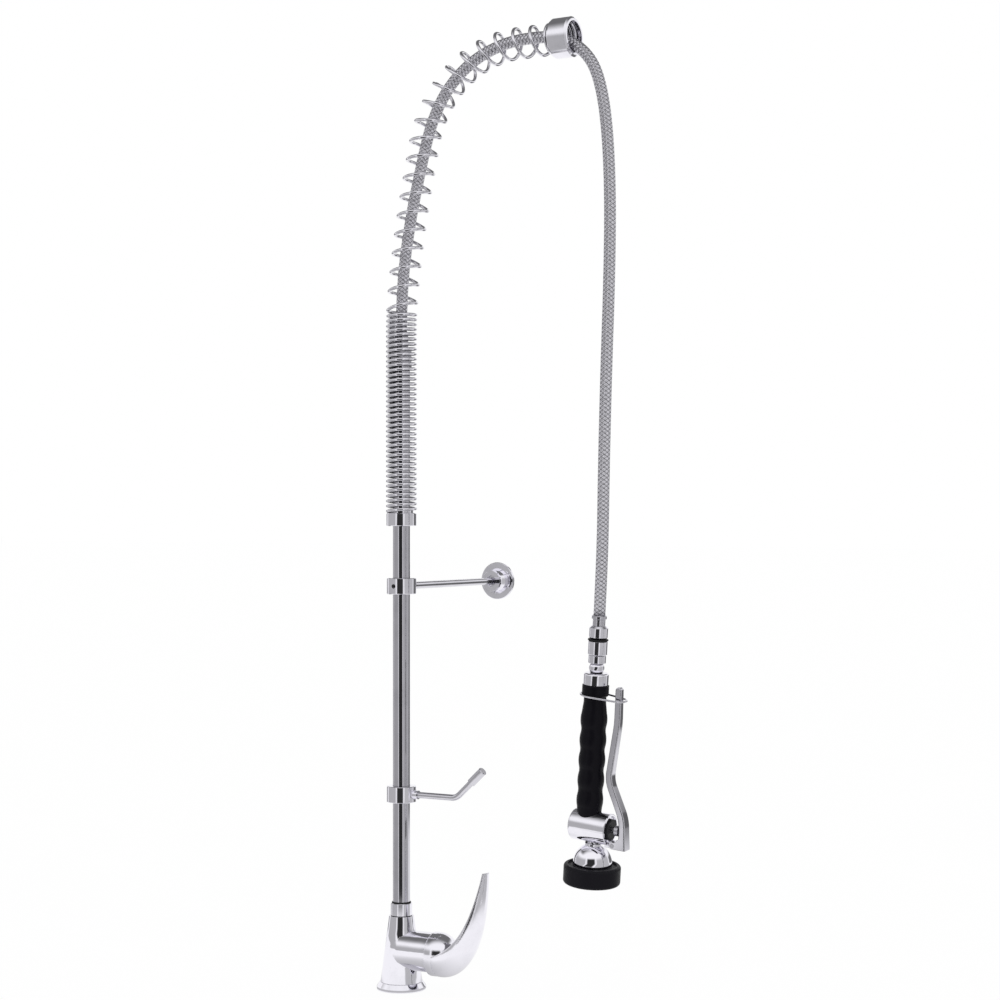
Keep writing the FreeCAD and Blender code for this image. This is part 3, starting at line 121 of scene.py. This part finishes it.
# Marks of handling: cloudy finger smudges and a few hairlines from wiping.
hairline_slant = (0.5, 0.9, 0.3)
hairline_fineness = (1600.0, 45.0, 1600.0)
handling, given, result = effect(
    "handling_marks", [("Scale", "Float", 1.0)], [("Smudge", "Float"), ("Hairline", "Float")])
place = add(handling, "TexCoord")
sized = add(handling, "VectorMath", [(0, place.outputs["Object"])], operation="SCALE")
handling.links.new(given.outputs["Scale"], sized.inputs["Scale"])
cloud = add(handling, "TexNoise", [("Vector", sized.outputs[0]), ("Scale", 38.0), ("Detail", 5.0),
                                   ("Roughness", 0.62)])
smudge = add(handling, "MapRange", [("Value", cloud.outputs[0]), ("From Min", 0.46), ("From Max", 0.72)])
wiped = add(handling, "Mapping", [("Vector", sized.outputs[0]), ("Rotation", hairline_slant),
                                  ("Scale", hairline_fineness)])
threads = add(handling, "TexNoise", [("Vector", wiped.outputs[0]), ("Scale", 1.0), ("Detail", 1.0)])
hairline = add(handling, "MapRange", [("Value", threads.outputs[0]), ("From Min", 0.66),
                                      ("From Max", 0.76)])
handling.links.new(smudge.outputs[0], result.inputs["Smudge"])
handling.links.new(hairline.outputs[0], result.inputs["Hairline"])

# Tool lines: fine parallel marks, long in one direction, left by drawing, turning or brushing.
tool_lines, given, result = effect(
    "tool_lines", [("Fineness", "Vector", (1.0, 1.0, 1.0))], [("Lines", "Float")])
place = add(tool_lines, "TexCoord")
drawn = add(tool_lines, "VectorMath", [(0, place.outputs["Object"]), (1, given.outputs["Fineness"])],
            operation="MULTIPLY")
grooves = add(tool_lines, "TexNoise", [("Vector", drawn.outputs[0]), ("Scale", 1.0), ("Detail", 4.0),
                                       ("Roughness", 0.7)])
tool_lines.links.new(grooves.outputs[0], result.inputs["Lines"])

# Seams: how open the place is, low in the narrow gaps between pieces, which darkens the colour there as a
# painted shade.
seam_shading, given, result = effect("painted_seam_shade", [("Reach", "Float", 0.002)], [("Open", "Float")])
crevice = add(seam_shading, "AmbientOcclusion", [("Distance", given.outputs["Reach"])], samples=6)
cleared = add(seam_shading, "MapRange", [("Value", crevice.outputs["AO"]), ("From Min", 0.2), ("From Max", 0.72),
                                  ("To Min", 0.04)])
seam_shading.links.new(cleared.outputs[0], result.inputs["Open"])


def blank_finish(name):
    """A material with its tree and its surface shader."""
    material = bpy.data.materials.new(name)
    material.use_nodes = True
    return material, material.node_tree, material.node_tree.nodes["Principled BSDF"]


def metal(name, bright, dull, roughness, haze, lines, line_depth, edge_radius, ripple=0.0,
          seam_reach=0.002):
    """A metal finish: two tints, roughness, smudge dulling, tool lines, casting ripple and painted shade in
    seams.
    """
    ripple_scale = 70.0
    groove_relief = 0.06
    material, tree, shader = blank_finish(name)
    shader.inputs["Metallic"].default_value = 1.0
    rounded = with_effect(tree, soft_edges, [("Radius", edge_radius)])
    marks = with_effect(tree, handling, [("Scale", 1.0)])
    grooves = with_effect(tree, tool_lines, [("Fineness", lines)])
    gaps = with_effect(tree, seam_shading, [("Reach", seam_reach)])
    tint = add(tree, "Mix", [("Factor", marks.outputs["Smudge"]), ("A", (*bright, 1)), ("B", (*dull, 1))],
               data_type="RGBA")
    worn = add(tree, "Mix", [("Factor", rounded.outputs["Edge"]), ("B", (*bright, 1))], data_type="RGBA")
    tree.links.new(tint.outputs["Result"], worn.inputs["A"])
    # Painted shade: the colour is multiplied down in the seams between pieces.
    seam_shaded = add(tree, "Mix", [("Factor", 1.0), ("A", worn.outputs["Result"]), ("B", gaps.outputs["Open"])],
                 data_type="RGBA", blend_type="MULTIPLY")
    tree.links.new(seam_shaded.outputs["Result"], shader.inputs["Base Color"])
    cloudy = worked(tree, "MULTIPLY_ADD", marks.outputs["Smudge"], haze, roughness)
    streaky = worked(tree, "MULTIPLY_ADD", grooves.outputs["Lines"], line_depth, cloudy)
    scuffed = worked(tree, "MULTIPLY_ADD", marks.outputs["Hairline"], haze, streaky)
    tree.links.new(scuffed, shader.inputs["Roughness"])
    place = add(tree, "TexCoord")
    wave = add(tree, "TexNoise", [("Vector", place.outputs["Object"]), ("Scale", ripple_scale),
                                  ("Detail", 1.0)])
    relief = worked(tree, "MULTIPLY", wave.outputs[0], ripple)
    height = worked(tree, "MULTIPLY_ADD", grooves.outputs["Lines"], groove_relief * line_depth, relief)
    bump = add(tree, "Bump", [("Strength", 0.35), ("Distance", 0.0006), ("Height", height),
                              ("Normal", rounded.outputs["Normal"])])
    tree.links.new(bump.outputs["Normal"], shader.inputs["Normal"])
    return material


def dress(material, *names):
    """Gives a finish to CAD nodes, shaded smooth up to their sharp edges."""
    touching = 1e-6
    sharp_angle = math.radians(32)
    for name in names:
        piece = nodes[name]
        piece.data.materials.clear()
        piece.data.materials.append(material)
        joined = piece.modifiers.new("joined", "WELD")
        joined.merge_threshold = touching
        parted = piece.modifiers.new("parted", "EDGE_SPLIT")
        parted.split_angle = sharp_angle
        piece.modifiers.new("evened", "WEIGHTED_NORMAL")


chrome_light = (0.88, 0.868, 0.93)
chrome_dull = (0.80, 0.79, 0.85)
cast_chrome = metal("cast_chrome", chrome_light, chrome_dull, roughness=0.025, haze=0.05,
                    lines=(30, 30, 30), line_depth=0.02, edge_radius=0.0006, ripple=0.6)
turned_chrome = metal("turned_chrome", chrome_light, chrome_dull, roughness=0.03, haze=0.05,
                      lines=(8, 8, 2600), line_depth=0.05, edge_radius=0.0003)
dress(cast_chrome, "mixer_body")
dress(turned_chrome, "base_ring")

# GASKET AND SEALS
# Rings of black rubber: the gasket under the base ring, the seal where the riser enters its nut,
# the ring between the two halves of the hose connector, and the hidden seals of swivel and valve.

# Dust: a thin pale film on faces that look up.
dust, given, result = effect("settled_dust", [("Amount", "Float", 0.3)], [("Dust", "Float")])
facing = add(dust, "NewGeometry")
upward = add(dust, "SeparateXYZ", [(0, facing.outputs["Normal"])])
place = add(dust, "TexCoord")
patches = add(dust, "TexNoise", [("Vector", place.outputs["Object"]), ("Scale", 140.0), ("Detail", 6.0)])
lying = worked(dust, "MULTIPLY", upward.outputs["Z"], patches.outputs[0], clamp=True)
film = worked(dust, "MULTIPLY", lying, given.outputs["Amount"])
dust.links.new(film, result.inputs["Dust"])


def moulded(name, colour, pale, roughness, grain_scale, grain_depth, edge_radius, dusty):
    """A moulded rubber or plastic finish: its colour, the paler tone of edges and dust, and its grain."""
    edge_paleness = 0.35
    mottle = 0.16
    smudge_shine = -0.07
    material, tree, shader = blank_finish(name)
    shader.inputs["Specular IOR Level"].default_value = 0.09
    rounded = with_effect(tree, soft_edges, [("Radius", edge_radius)])
    marks = with_effect(tree, handling, [("Scale", 1.3)])
    film = with_effect(tree, dust, [("Amount", dusty)])
    place = add(tree, "TexCoord")
    grain = add(tree, "TexNoise", [("Vector", place.outputs["Object"]), ("Scale", grain_scale),
                                   ("Detail", 3.0)])
    rubbed = worked(tree, "MULTIPLY_ADD", rounded.outputs["Edge"], edge_paleness, film.outputs["Dust"],
                    clamp=True)
    tint = add(tree, "Mix", [("Factor", rubbed), ("A", (*colour, 1)), ("B", (*pale, 1))], data_type="RGBA")
    tree.links.new(tint.outputs["Result"], shader.inputs["Base Color"])
    mottled = worked(tree, "MULTIPLY_ADD", grain.outputs[0], mottle, roughness - mottle / 2)
    handled = worked(tree, "MULTIPLY_ADD", marks.outputs["Smudge"], smudge_shine, mottled)
    tree.links.new(handled, shader.inputs["Roughness"])
    bump = add(tree, "Bump", [("Strength", grain_depth), ("Distance", 0.0003), ("Height", grain.outputs[0]),
                              ("Normal", rounded.outputs["Normal"])])
    tree.links.new(bump.outputs["Normal"], shader.inputs["Normal"])
    return material


seal_rubber = moulded("seal_rubber", (0.014, 0.014, 0.015), (0.07, 0.07, 0.07), roughness=0.5,
                      grain_scale=1500, grain_depth=0.25, edge_radius=0.0003, dusty=0.1)
dress(seal_rubber, "base_gasket", "riser_seal", "connector_ring", "swivel_seal", "packing",
      "cartridge_seals", "valve_disc")

# CARTRIDGE
# The ceramic disc cartridge in the mixer's neck: a pale moulded housing with a turning head and a
# steel stem on a pin. A brass nut holds it down.
pale_plastic = moulded("cartridge_plastic", (0.68, 0.67, 0.62), (0.78, 0.77, 0.73), roughness=0.42,
                       grain_scale=900, grain_depth=0.12, edge_radius=0.0003, dusty=0.0)
bare_brass = metal("bare_brass", (0.78, 0.58, 0.28), (0.62, 0.43, 0.19), roughness=0.2, haze=0.16,
                   lines=(12, 12, 1900), line_depth=0.12, edge_radius=0.0003)
steel_grey = (0.56, 0.552, 0.595)
plain_steel = metal("plain_steel", steel_grey, (0.46, 0.454, 0.49), roughness=0.22, haze=0.12,
                    lines=(900, 900, 900), line_depth=0.12, edge_radius=0.0003)
dress(pale_plastic, "cartridge_body", "cartridge_turret")
dress(plain_steel, "cartridge_stem", "stem_pin")
dress(bare_brass, "cartridge_nut")

# HANDLE
# A lever cast with its cup in one piece, polished and plated like the body. A grub screw holds it
# on the stem, under a small round plug.
handle_chrome = metal("handle_chrome", chrome_light, chrome_dull, roughness=0.025, haze=0.05,
                      lines=(30, 30, 30), line_depth=0.02, edge_radius=0.002, ripple=0.4)
dress(handle_chrome, "mixer_handle")
dark_screw = metal("blackened_screw", (0.16, 0.16, 0.165), (0.08, 0.08, 0.085), roughness=0.3, haze=0.2,
                   lines=(700, 700, 700), line_depth=0.1, edge_radius=0.0002)
plug_plastic = moulded("plug_plastic", (0.42, 0.42, 0.44), (0.6, 0.6, 0.62), roughness=0.3,
                       grain_scale=1200, grain_depth=0.1, edge_radius=0.0003, dusty=0.0)
dress(dark_screw, "handle_grub_screw")
dress(plug_plastic, "indicator_plug")

# RISER
# A drawn stainless tube, polished along its length, held in the mixer by a turned nut that is
# plated like the base ring.
satin_light = (0.64, 0.63, 0.68)
drawn_tube = metal("drawn_tube", satin_light, steel_grey, roughness=0.05, haze=0.05,
                   lines=(2400, 2400, 5), line_depth=0.04, edge_radius=0.0003)
dress(drawn_tube, "riser_tube")
dress(turned_chrome, "riser_nut")

# SPRING
# One length of hard stainless wire: close turns over the riser's top, then open turns that carry
# the arch. It stands in a turned seat collar and ends in a wide collar that the hose runs through.
wire_light = (0.8, 0.79, 0.845)
# The wire's wide seam reach paints shade inside the coil and between its close turns.
spring_wire = metal("spring_wire", wire_light, (0.7, 0.69, 0.74), roughness=0.04, haze=0.05,
                    lines=(500, 500, 500), line_depth=0.06, edge_radius=0.0001, seam_reach=0.012)
dress(spring_wire, "coil_spring")
dress(turned_chrome, "spring_seat", "spring_end_collar")

# HOSE
# A rubber hose under a braid of fine steel wires. It leaves its crimped tail above the riser,
# runs up inside the spring, comes out of the end collar and hangs down to the hand spray.
hose_diameter = 0.0124
hose_sides = 32

# The route's points are listed in millimetres, and are those of the part's source.
hose_route = [
    (0, 0, 716), (0, 0, 762), (10, 0, 833), (27, 0, 903), (39.5, 0, 945.5), (60.5, 0, 980.5), (92, 0, 1006),
    (128, 0, 1018.8), (160, 0, 1021.4), (187.8, 0, 1019.7), (211.2, 0, 1011.9), (230.6, 0, 995.8),
    (242.9, -0.6, 973.4), (252.9, -2.5, 930), (259, -5.5, 856), (260, -9.5, 766), (258, -13, 666),
    (256, -14.5, 566), (253.506, -12.381, 476.642), (247.592, -7.986, 414.075),
]
millimetres_in_metre = 1000
hose_curve = bpy.data.curves.new("hose_line", "CURVE")
hose_curve.dimensions = "3D"
hose_curve.resolution_u = 16
hose_spline = hose_curve.splines.new("NURBS")
hose_spline.points.add(len(hose_route) - 1)
for control, place in zip(hose_spline.points, hose_route):
    control.co = (*[c / millimetres_in_metre for c in place], 1)
hose_spline.order_u = 3
hose_spline.use_endpoint_u = True
hose_path = bpy.data.objects.new("hose_line", hose_curve)
scene.collection.objects.link(hose_path)
hose_points = [point.co.copy() for point in bpy.data.meshes.new_from_object(hose_path).vertices]
bpy.data.objects.remove(hose_path)


def tube_along(name, points, radius, sides):
    """A tube that follows points without twisting, unrolled by its real length and turn."""
    shape = bpy.data.meshes.new(name)
    corners, faces, lengths = [], [], [0.0]
    side = Vector((0, 1, 0))
    for i, point in enumerate(points):
        ahead = (points[min(i + 1, len(points) - 1)] - points[max(i - 1, 0)]).normalized()
        side = (side - ahead * side.dot(ahead)).normalized()
        across = ahead.cross(side)
        for k in range(sides):
            turn = 2 * math.pi * k / sides
            corners.append(point + (side * math.cos(turn) + across * math.sin(turn)) * radius)
        if i:
            lengths.append(lengths[-1] + (point - points[i - 1]).length)
    for i in range(len(points) - 1):
        ring, next_ring = i * sides, (i + 1) * sides
        for k in range(sides):
            following = (k + 1) % sides
            faces.append((ring + k, ring + following, next_ring + following, next_ring + k))
    faces.append(tuple(range(sides - 1, -1, -1)))
    faces.append(tuple(range((len(points) - 1) * sides, len(points) * sides)))
    shape.from_pydata(corners, [], faces)
    shape.shade_smooth()
    unrolled = shape.uv_layers.new(name="unrolled")
    for face in shape.polygons[:-2]:
        ring, start = divmod(face.index, sides)
        spots = ((ring, start), (ring, start + 1), (ring + 1, start + 1), (ring + 1, start))
        for loop, (along, turn) in zip(face.loop_indices, spots):
            unrolled.data[loop].uv = (lengths[along], turn / sides)
    made = bpy.data.objects.new(name, shape)
    scene.collection.objects.link(made)
    return made


hose = tube_along("braided_hose", hose_points, hose_diameter / 2, hose_sides)
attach(hose, "column")
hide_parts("hose")

# The braid: ribbons of four wires wound both ways round the hose, passing over and under in turn.
ribbons_round = 6
braid_lead = 0.026
wires_in_ribbon = 4
wire_depth = 0.4
ribbon_fullness = 0.55
arch_fullness = 0.5
braid_shadow = (0.24, 0.236, 0.255)
braid_roughness = 0.34
crest_shine = -0.15
braid, tree, shader = blank_finish("steel_braid")
shader.inputs["Metallic"].default_value = 1.0
unrolled = add(tree, "UVMap", uv_map="unrolled")
along_round = add(tree, "SeparateXYZ", [(0, unrolled.outputs["UV"])])


def across_and_cell(sign):
    """How far a point is across its ribbon, and the ribbon's number, for one way of winding."""
    lean = worked(tree, "MULTIPLY", along_round.outputs["X"], sign * ribbons_round / braid_lead)
    turn = worked(tree, "MULTIPLY", along_round.outputs["Y"], ribbons_round)
    wound = worked(tree, "ADD", lean, turn)
    return worked(tree, "FLOORED_MODULO", wound, 1.0), worked(tree, "FLOOR", wound)


def ribbon_height(across, along):
    """A ribbon's rounded section with its wires, arched where it passes over."""
    section = worked(tree, "SINE", worked(tree, "MULTIPLY", across, math.pi))
    arch = worked(tree, "SINE", worked(tree, "MULTIPLY", along, math.pi))
    wire = worked(tree, "SINE", worked(tree, "MULTIPLY", across, wires_in_ribbon * math.pi))
    round_wire = worked(tree, "MULTIPLY", worked(tree, "ABSOLUTE", wire), wire_depth)
    full_section = worked(tree, "POWER", section, ribbon_fullness)
    full_arch = worked(tree, "POWER", arch, arch_fullness)
    body = worked(tree, "MULTIPLY", full_section, full_arch)
    return worked(tree, "MULTIPLY", body, worked(tree, "ADD", round_wire, 1 - wire_depth))


right_across, right_cell = across_and_cell(1)
left_across, left_cell = across_and_cell(-1)
parity = worked(tree, "FLOORED_MODULO", worked(tree, "ADD", right_cell, left_cell), 2.0)
over_right = ribbon_height(right_across, left_across)
over_left = ribbon_height(left_across, right_across)
crossing = add(tree, "Mix", [("Factor", parity), ("A", over_right), ("B", over_left)], data_type="FLOAT")
weave = crossing.outputs["Result"]
crest = add(tree, "MapRange", [("Value", weave), ("From Min", 0.1), ("From Max", 0.6)],
            interpolation_type="SMOOTHSTEP").outputs[0]
# Painted shade: where the weave lies low, under and between the ribbons, the wire colour falls to the dark
# braid_shadow tone.
wire_tint = add(tree, "Mix", [("Factor", crest), ("A", (*braid_shadow, 1)), ("B", (*wire_light, 1))],
                data_type="RGBA")
tree.links.new(wire_tint.outputs["Result"], shader.inputs["Base Color"])
wire_roughness = worked(tree, "MULTIPLY_ADD", weave, crest_shine, braid_roughness)
tree.links.new(wire_roughness, shader.inputs["Roughness"])
weave_bump = add(tree, "Bump", [("Strength", 1.0), ("Distance", 0.0006), ("Height", weave)])
tree.links.new(weave_bump.outputs["Normal"], shader.inputs["Normal"])
hose.data.materials.append(braid)
nodes["hose"].data.materials.clear()
nodes["hose"].data.materials.append(braid)

# HOSE ENDS
# A plated nut and crimped tail on the riser's top, and a crimped steel ferrule at the hand spray.
# The tail and the ferrule are squeezed onto the hose over its braid.
crimped_steel = metal("crimped_steel", (0.66, 0.65, 0.7), steel_grey, roughness=0.14, haze=0.1,
                      lines=(10, 10, 1500), line_depth=0.12, edge_radius=0.0002)
dress(crimped_steel, "hose_nut", "hose_tail", "hose_ferrule")

# CLAMPS, HOOK AND WALL BRACKET
# Two turned clamp rings on the riser, each held by a socket screw: one carries a bent rod with a
# sleeve on its tip, the other a straight rod into a spun rosette on the wall.
bright_rod = metal("bright_rod", (0.68, 0.67, 0.72), (0.6, 0.59, 0.635), roughness=0.06, haze=0.06,
                   lines=(600, 40, 600), line_depth=0.08, edge_radius=0.0003)
dress(turned_chrome, "hook_clamp", "bracket_clamp")
dress(cast_chrome, "wall_rosette")
dress(bright_rod, "hook_rod", "hook_tip", "bracket_rod")
dress(dark_screw, "hook_screw", "bracket_screw", "rosette_screw")

# SWIVEL CONNECTOR AND GRIP CAP
# Turned brass sleeves, plated bright, screwed together round a ball neck, so the hand spray turns
# freely under the hose. The cap closes the grip's top.
dress(turned_chrome, "connector_sleeve", "swivel_socket", "grip_cap")
dress(cast_chrome, "swivel_nipple")

# GRIP
# A ribbed sleeve moulded in black plastic, with a satin surface. It is pushed over a brass tube,
# which carries the water through it.
rubbed_black = (0.05, 0.048, 0.056)
grip_plastic = moulded("grip_plastic", (0.0045, 0.004, 0.0065), rubbed_black, roughness=0.36,
                       grain_scale=1700, grain_depth=0.3, edge_radius=0.0006, dusty=0.06)
dress(grip_plastic, "grip")
dress(bare_brass, "handle_tube")

# SPRAY VALVE
# A cross cylinder, plated bright, with a dark bonnet screwed in its front. Inside, a plunger with a
# rubber disc is pressed on its brass seat by a return spring.
dress(cast_chrome, "valve_body")
bonnet_plastic = moulded("bonnet_plastic", (0.02, 0.02, 0.022), (0.09, 0.09, 0.095), roughness=0.3,
                         grain_scale=1300, grain_depth=0.15, edge_radius=0.0004, dusty=0.05)
dress(bonnet_plastic, "bonnet")
dress(bare_brass, "valve_seat")
dress(plain_steel, "plunger")

# The return spring is drawn as a piece of its own: a copy of the part with its own mesh, in the handset.
dress(plain_steel, "return_spring")
closing_spring = nodes["return_spring"].copy()
closing_spring.data = nodes["return_spring"].data.copy()
closing_spring.name = "closing_spring"
closing_spring.parent = None
del closing_spring["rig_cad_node"]
scene.collection.objects.link(closing_spring)
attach(closing_spring, "handset")
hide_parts("return_spring")
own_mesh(closing_spring)

# SQUEEZE LEVER AND HOLD RING
# A die-cast lever with a satin plate, hung on a steel pin below the valve. A ring of bright wire
# hangs on the grip and swings over the lever's tip to hold it squeezed.
satin_lever = metal("satin_lever", satin_light, steel_grey, roughness=0.06, haze=0.04,
                    lines=(300, 300, 40), line_depth=0.04, edge_radius=0.0008, ripple=0.1)
dress(satin_lever, "trigger_lever")
dress(plain_steel, "pivot_pin")
dress(bright_rod, "lock_ring")

# SPRAY HEAD
# A spun dome, plated bright, with a drilled steel spray face and a thick ring of black rubber that
# keeps it from chipping dishes.
dress(cast_chrome, "spray_dome")
dress(plain_steel, "spray_face")
bumper_rubber = moulded("bumper_rubber", (0.007, 0.0065, 0.0095), rubbed_black, roughness=0.44,
                        grain_scale=1100, grain_depth=0.35, edge_radius=0.0012, dusty=0.06)
dress(bumper_rubber, "bumper")

# STUDIO
# A pale floor that runs out of sight under a white sky of soft light. Grey paper sweeps at both
# sides, a dark one behind the camera and a grey card overhead draw the streaks in the plated pieces.
white = (1, 1, 1, 1)
view_turn = math.radians(30)
view_dir = Vector((-math.sin(view_turn), math.cos(view_turn), 0))
view_right = Vector((math.cos(view_turn), math.sin(view_turn), 0))

# The floor: it lies just under the base, and is nearly white to the camera and in reflections.
floor_size = 60
floor_drop = 0.0005
white_share = 0.96
bpy.ops.mesh.primitive_plane_add(size=floor_size, location=(0, 0, -floor_drop))
floor = bpy.context.object
floor.name = "floor"
pale, tree, shader = blank_finish("pale_floor")
shader.inputs["Base Color"].default_value = (0.93, 0.93, 0.93, 1)
shader.inputs["Roughness"].default_value = 0.7
shader.inputs["Specular IOR Level"].default_value = 0.2
seen = add(tree, "LightPath")
seen_or_mirrored = worked(tree, "MAXIMUM", seen.outputs["Is Camera Ray"], seen.outputs["Is Glossy Ray"])
either = worked(tree, "MAXIMUM", seen_or_mirrored, seen.outputs["Is Transmission Ray"])
glow = add(tree, "Emission", [("Color", white), ("Strength", 1.0)])
blend = add(tree, "MixShader", [(0, worked(tree, "MULTIPLY", either, white_share)), (1, shader.outputs[0]),
                                (2, glow.outputs[0])])
tree.links.new(blend.outputs[0], tree.nodes["Material Output"].inputs["Surface"])
floor.data.materials.append(pale)

world = bpy.data.worlds.new("studio")
scene.world = world
world.use_nodes = True
sky = world.node_tree.nodes["Background"]
sky.inputs["Color"].default_value = white
sky.inputs["Strength"].default_value = 1.0


def stand(name, rows, level, fade_across=(0.0, 0.0), fade_up=(0.0, 0.0)):
    """Stages a card through rows of points, of one grey level that fades to white over its edges."""
    wide = len(rows[0])
    faces = [(r * wide + c, r * wide + c + 1, (r + 1) * wide + c + 1, (r + 1) * wide + c)
             for r in range(len(rows) - 1) for c in range(wide - 1)]
    shape = bpy.data.meshes.new(name)
    shape.from_pydata([point for row in rows for point in row], [], faces)
    spread = shape.uv_layers.new(name="spread")
    for loop in shape.loops:
        row, column = divmod(loop.vertex_index, wide)
        spread.data[loop.index].uv = (column / (wide - 1), row / (len(rows) - 1))
    made = bpy.data.objects.new(name, shape)
    scene.collection.objects.link(made)
    made.visible_camera = False
    made.visible_shadow = False
    made.visible_diffuse = False
    grey, tree, shader = blank_finish(name)
    tree.nodes.remove(shader)
    at = add(tree, "SeparateXYZ", [(0, add(tree, "UVMap", uv_map="spread").outputs["UV"])])
    masks = []
    for socket, (first, last) in (("X", fade_across), ("Y", fade_up)):
        for edge, width in ((0.0, first), (1.0, last)):
            if width:
                fade = add(tree, "MapRange", [("Value", at.outputs[socket]), ("From Min", edge),
                                              ("From Max", abs(edge - width))],
                           interpolation_type="SMOOTHSTEP")
                masks.append(fade.outputs[0])
    shade = 1.0 - level
    for mask in masks:
        shade = worked(tree, "MULTIPLY", mask, shade)
    strength = worked(tree, "SUBTRACT", 1.0, shade) if masks else level
    surface = add(tree, "Emission", [("Color", white), ("Strength", strength)])
    tree.links.new(surface.outputs[0], tree.nodes["Material Output"].inputs["Surface"])
    shape.materials.append(grey)


def swept(start, end, places):
    """Rows of points round the object between two angles: 0 at the camera, positive to its right."""
    steps = 24
    turns = [math.radians(start + (end - start) * step / steps) for step in range(steps + 1)]
    rays = [view_right * math.sin(turn) - view_dir * math.cos(turn) for turn in turns]
    return [[ray * reach + Vector((0, 0, z)) for ray in rays] for reach, z in places]


paper_height = 0.0005


def sweep(name, start, end, near, far, high, level, fade_across, fade_up):
    """A paper sweep: it lies on the floor from near to far, and stands up there."""
    places = [(near, paper_height), (far, paper_height), (far, high)]
    stand(name, swept(start, end, places), level, fade_across, fade_up)


sweep("dark_sweep", start=-38, end=20, near=0.34, far=3.6, high=2.4, level=0.03,
      fade_across=(0.18, 0.18), fade_up=(0.04, 0.2))
sweep("left_sweep", start=-124, end=-38, near=0.26, far=3.4, high=2.3, level=0.46,
      fade_across=(0.14, 0.1), fade_up=(0.03, 0.3))
sweep("right_sweep", start=20, end=106, near=0.26, far=3.4, high=2.3, level=0.52,
      fade_across=(0.1, 0.12), fade_up=(0.03, 0.3))
sweep("left_rear_strip", start=-152, end=-128, near=0.3, far=3.4, high=3.0, level=0.14,
      fade_across=(0.3, 0.3), fade_up=(0.02, 0.0))
sweep("right_rear_strip", start=104, end=152, near=1.0, far=3.4, high=1.3, level=0.16,
      fade_across=(0.16, 0.2), fade_up=(0.1, 0.25))
sweep("right_line", start=60, end=67, near=0.4, far=3.3, high=2.3, level=0.12,
      fade_across=(0.3, 0.3), fade_up=(0.02, 0.0))

# A low white card is mirrored in the mixer's foot, and a round grey one on the floor under it is a painted
# shadow, seen only in reflections.
bounce_reach = 0.13
bounce_top = 0.05
stand("low_bounce", swept(-140, 20, [(bounce_reach, paper_height), (bounce_reach, bounce_top)]), level=1.0)
shade_height = 0.0008
shade_rings = [(reach, shade_height) for reach in (0.001, 0.07, 0.14)]
stand("under_shade", swept(-180, 180, shade_rings), level=0.5, fade_up=(0.0, 0.95))

# The card overhead lies level, from in front of the object to well behind it.
ceiling_height = 2.9
ceiling_across = (-4, -2, 0, 2, 4)
ceiling_forward = (1.6, 0.2, -1.2, -2.6, -4)
ceiling = [[view_right * x - view_dir * y + Vector((0, 0, ceiling_height)) for x in ceiling_across]
           for y in ceiling_forward]
stand("ceiling_card", ceiling, level=0.17, fade_across=(0.2, 0.2), fade_up=(0.35, 0.0))

scene.view_settings.view_transform = "Standard"

# CAMERA
# A level view from the front right, 30 degrees round from the front, at about half the
# faucet's height. The small shift keeps the uprights parallel, as in the photograph.
camera_side = 0.1078
camera_distance = 2.31
camera_height = 0.5176
camera_data = bpy.data.cameras.new("camera")
camera_data.lens = 76.0
camera_data.sensor_width = 36.0
camera_data.shift_y = 0.015
camera_data.clip_end = 80.0
camera = bpy.data.objects.new("camera", camera_data)
camera.location = view_right * camera_side - view_dir * camera_distance + Vector((0, 0, camera_height))
camera.rotation_euler = (math.radians(90), 0, view_turn)
scene.collection.objects.link(camera)
scene.camera = camera
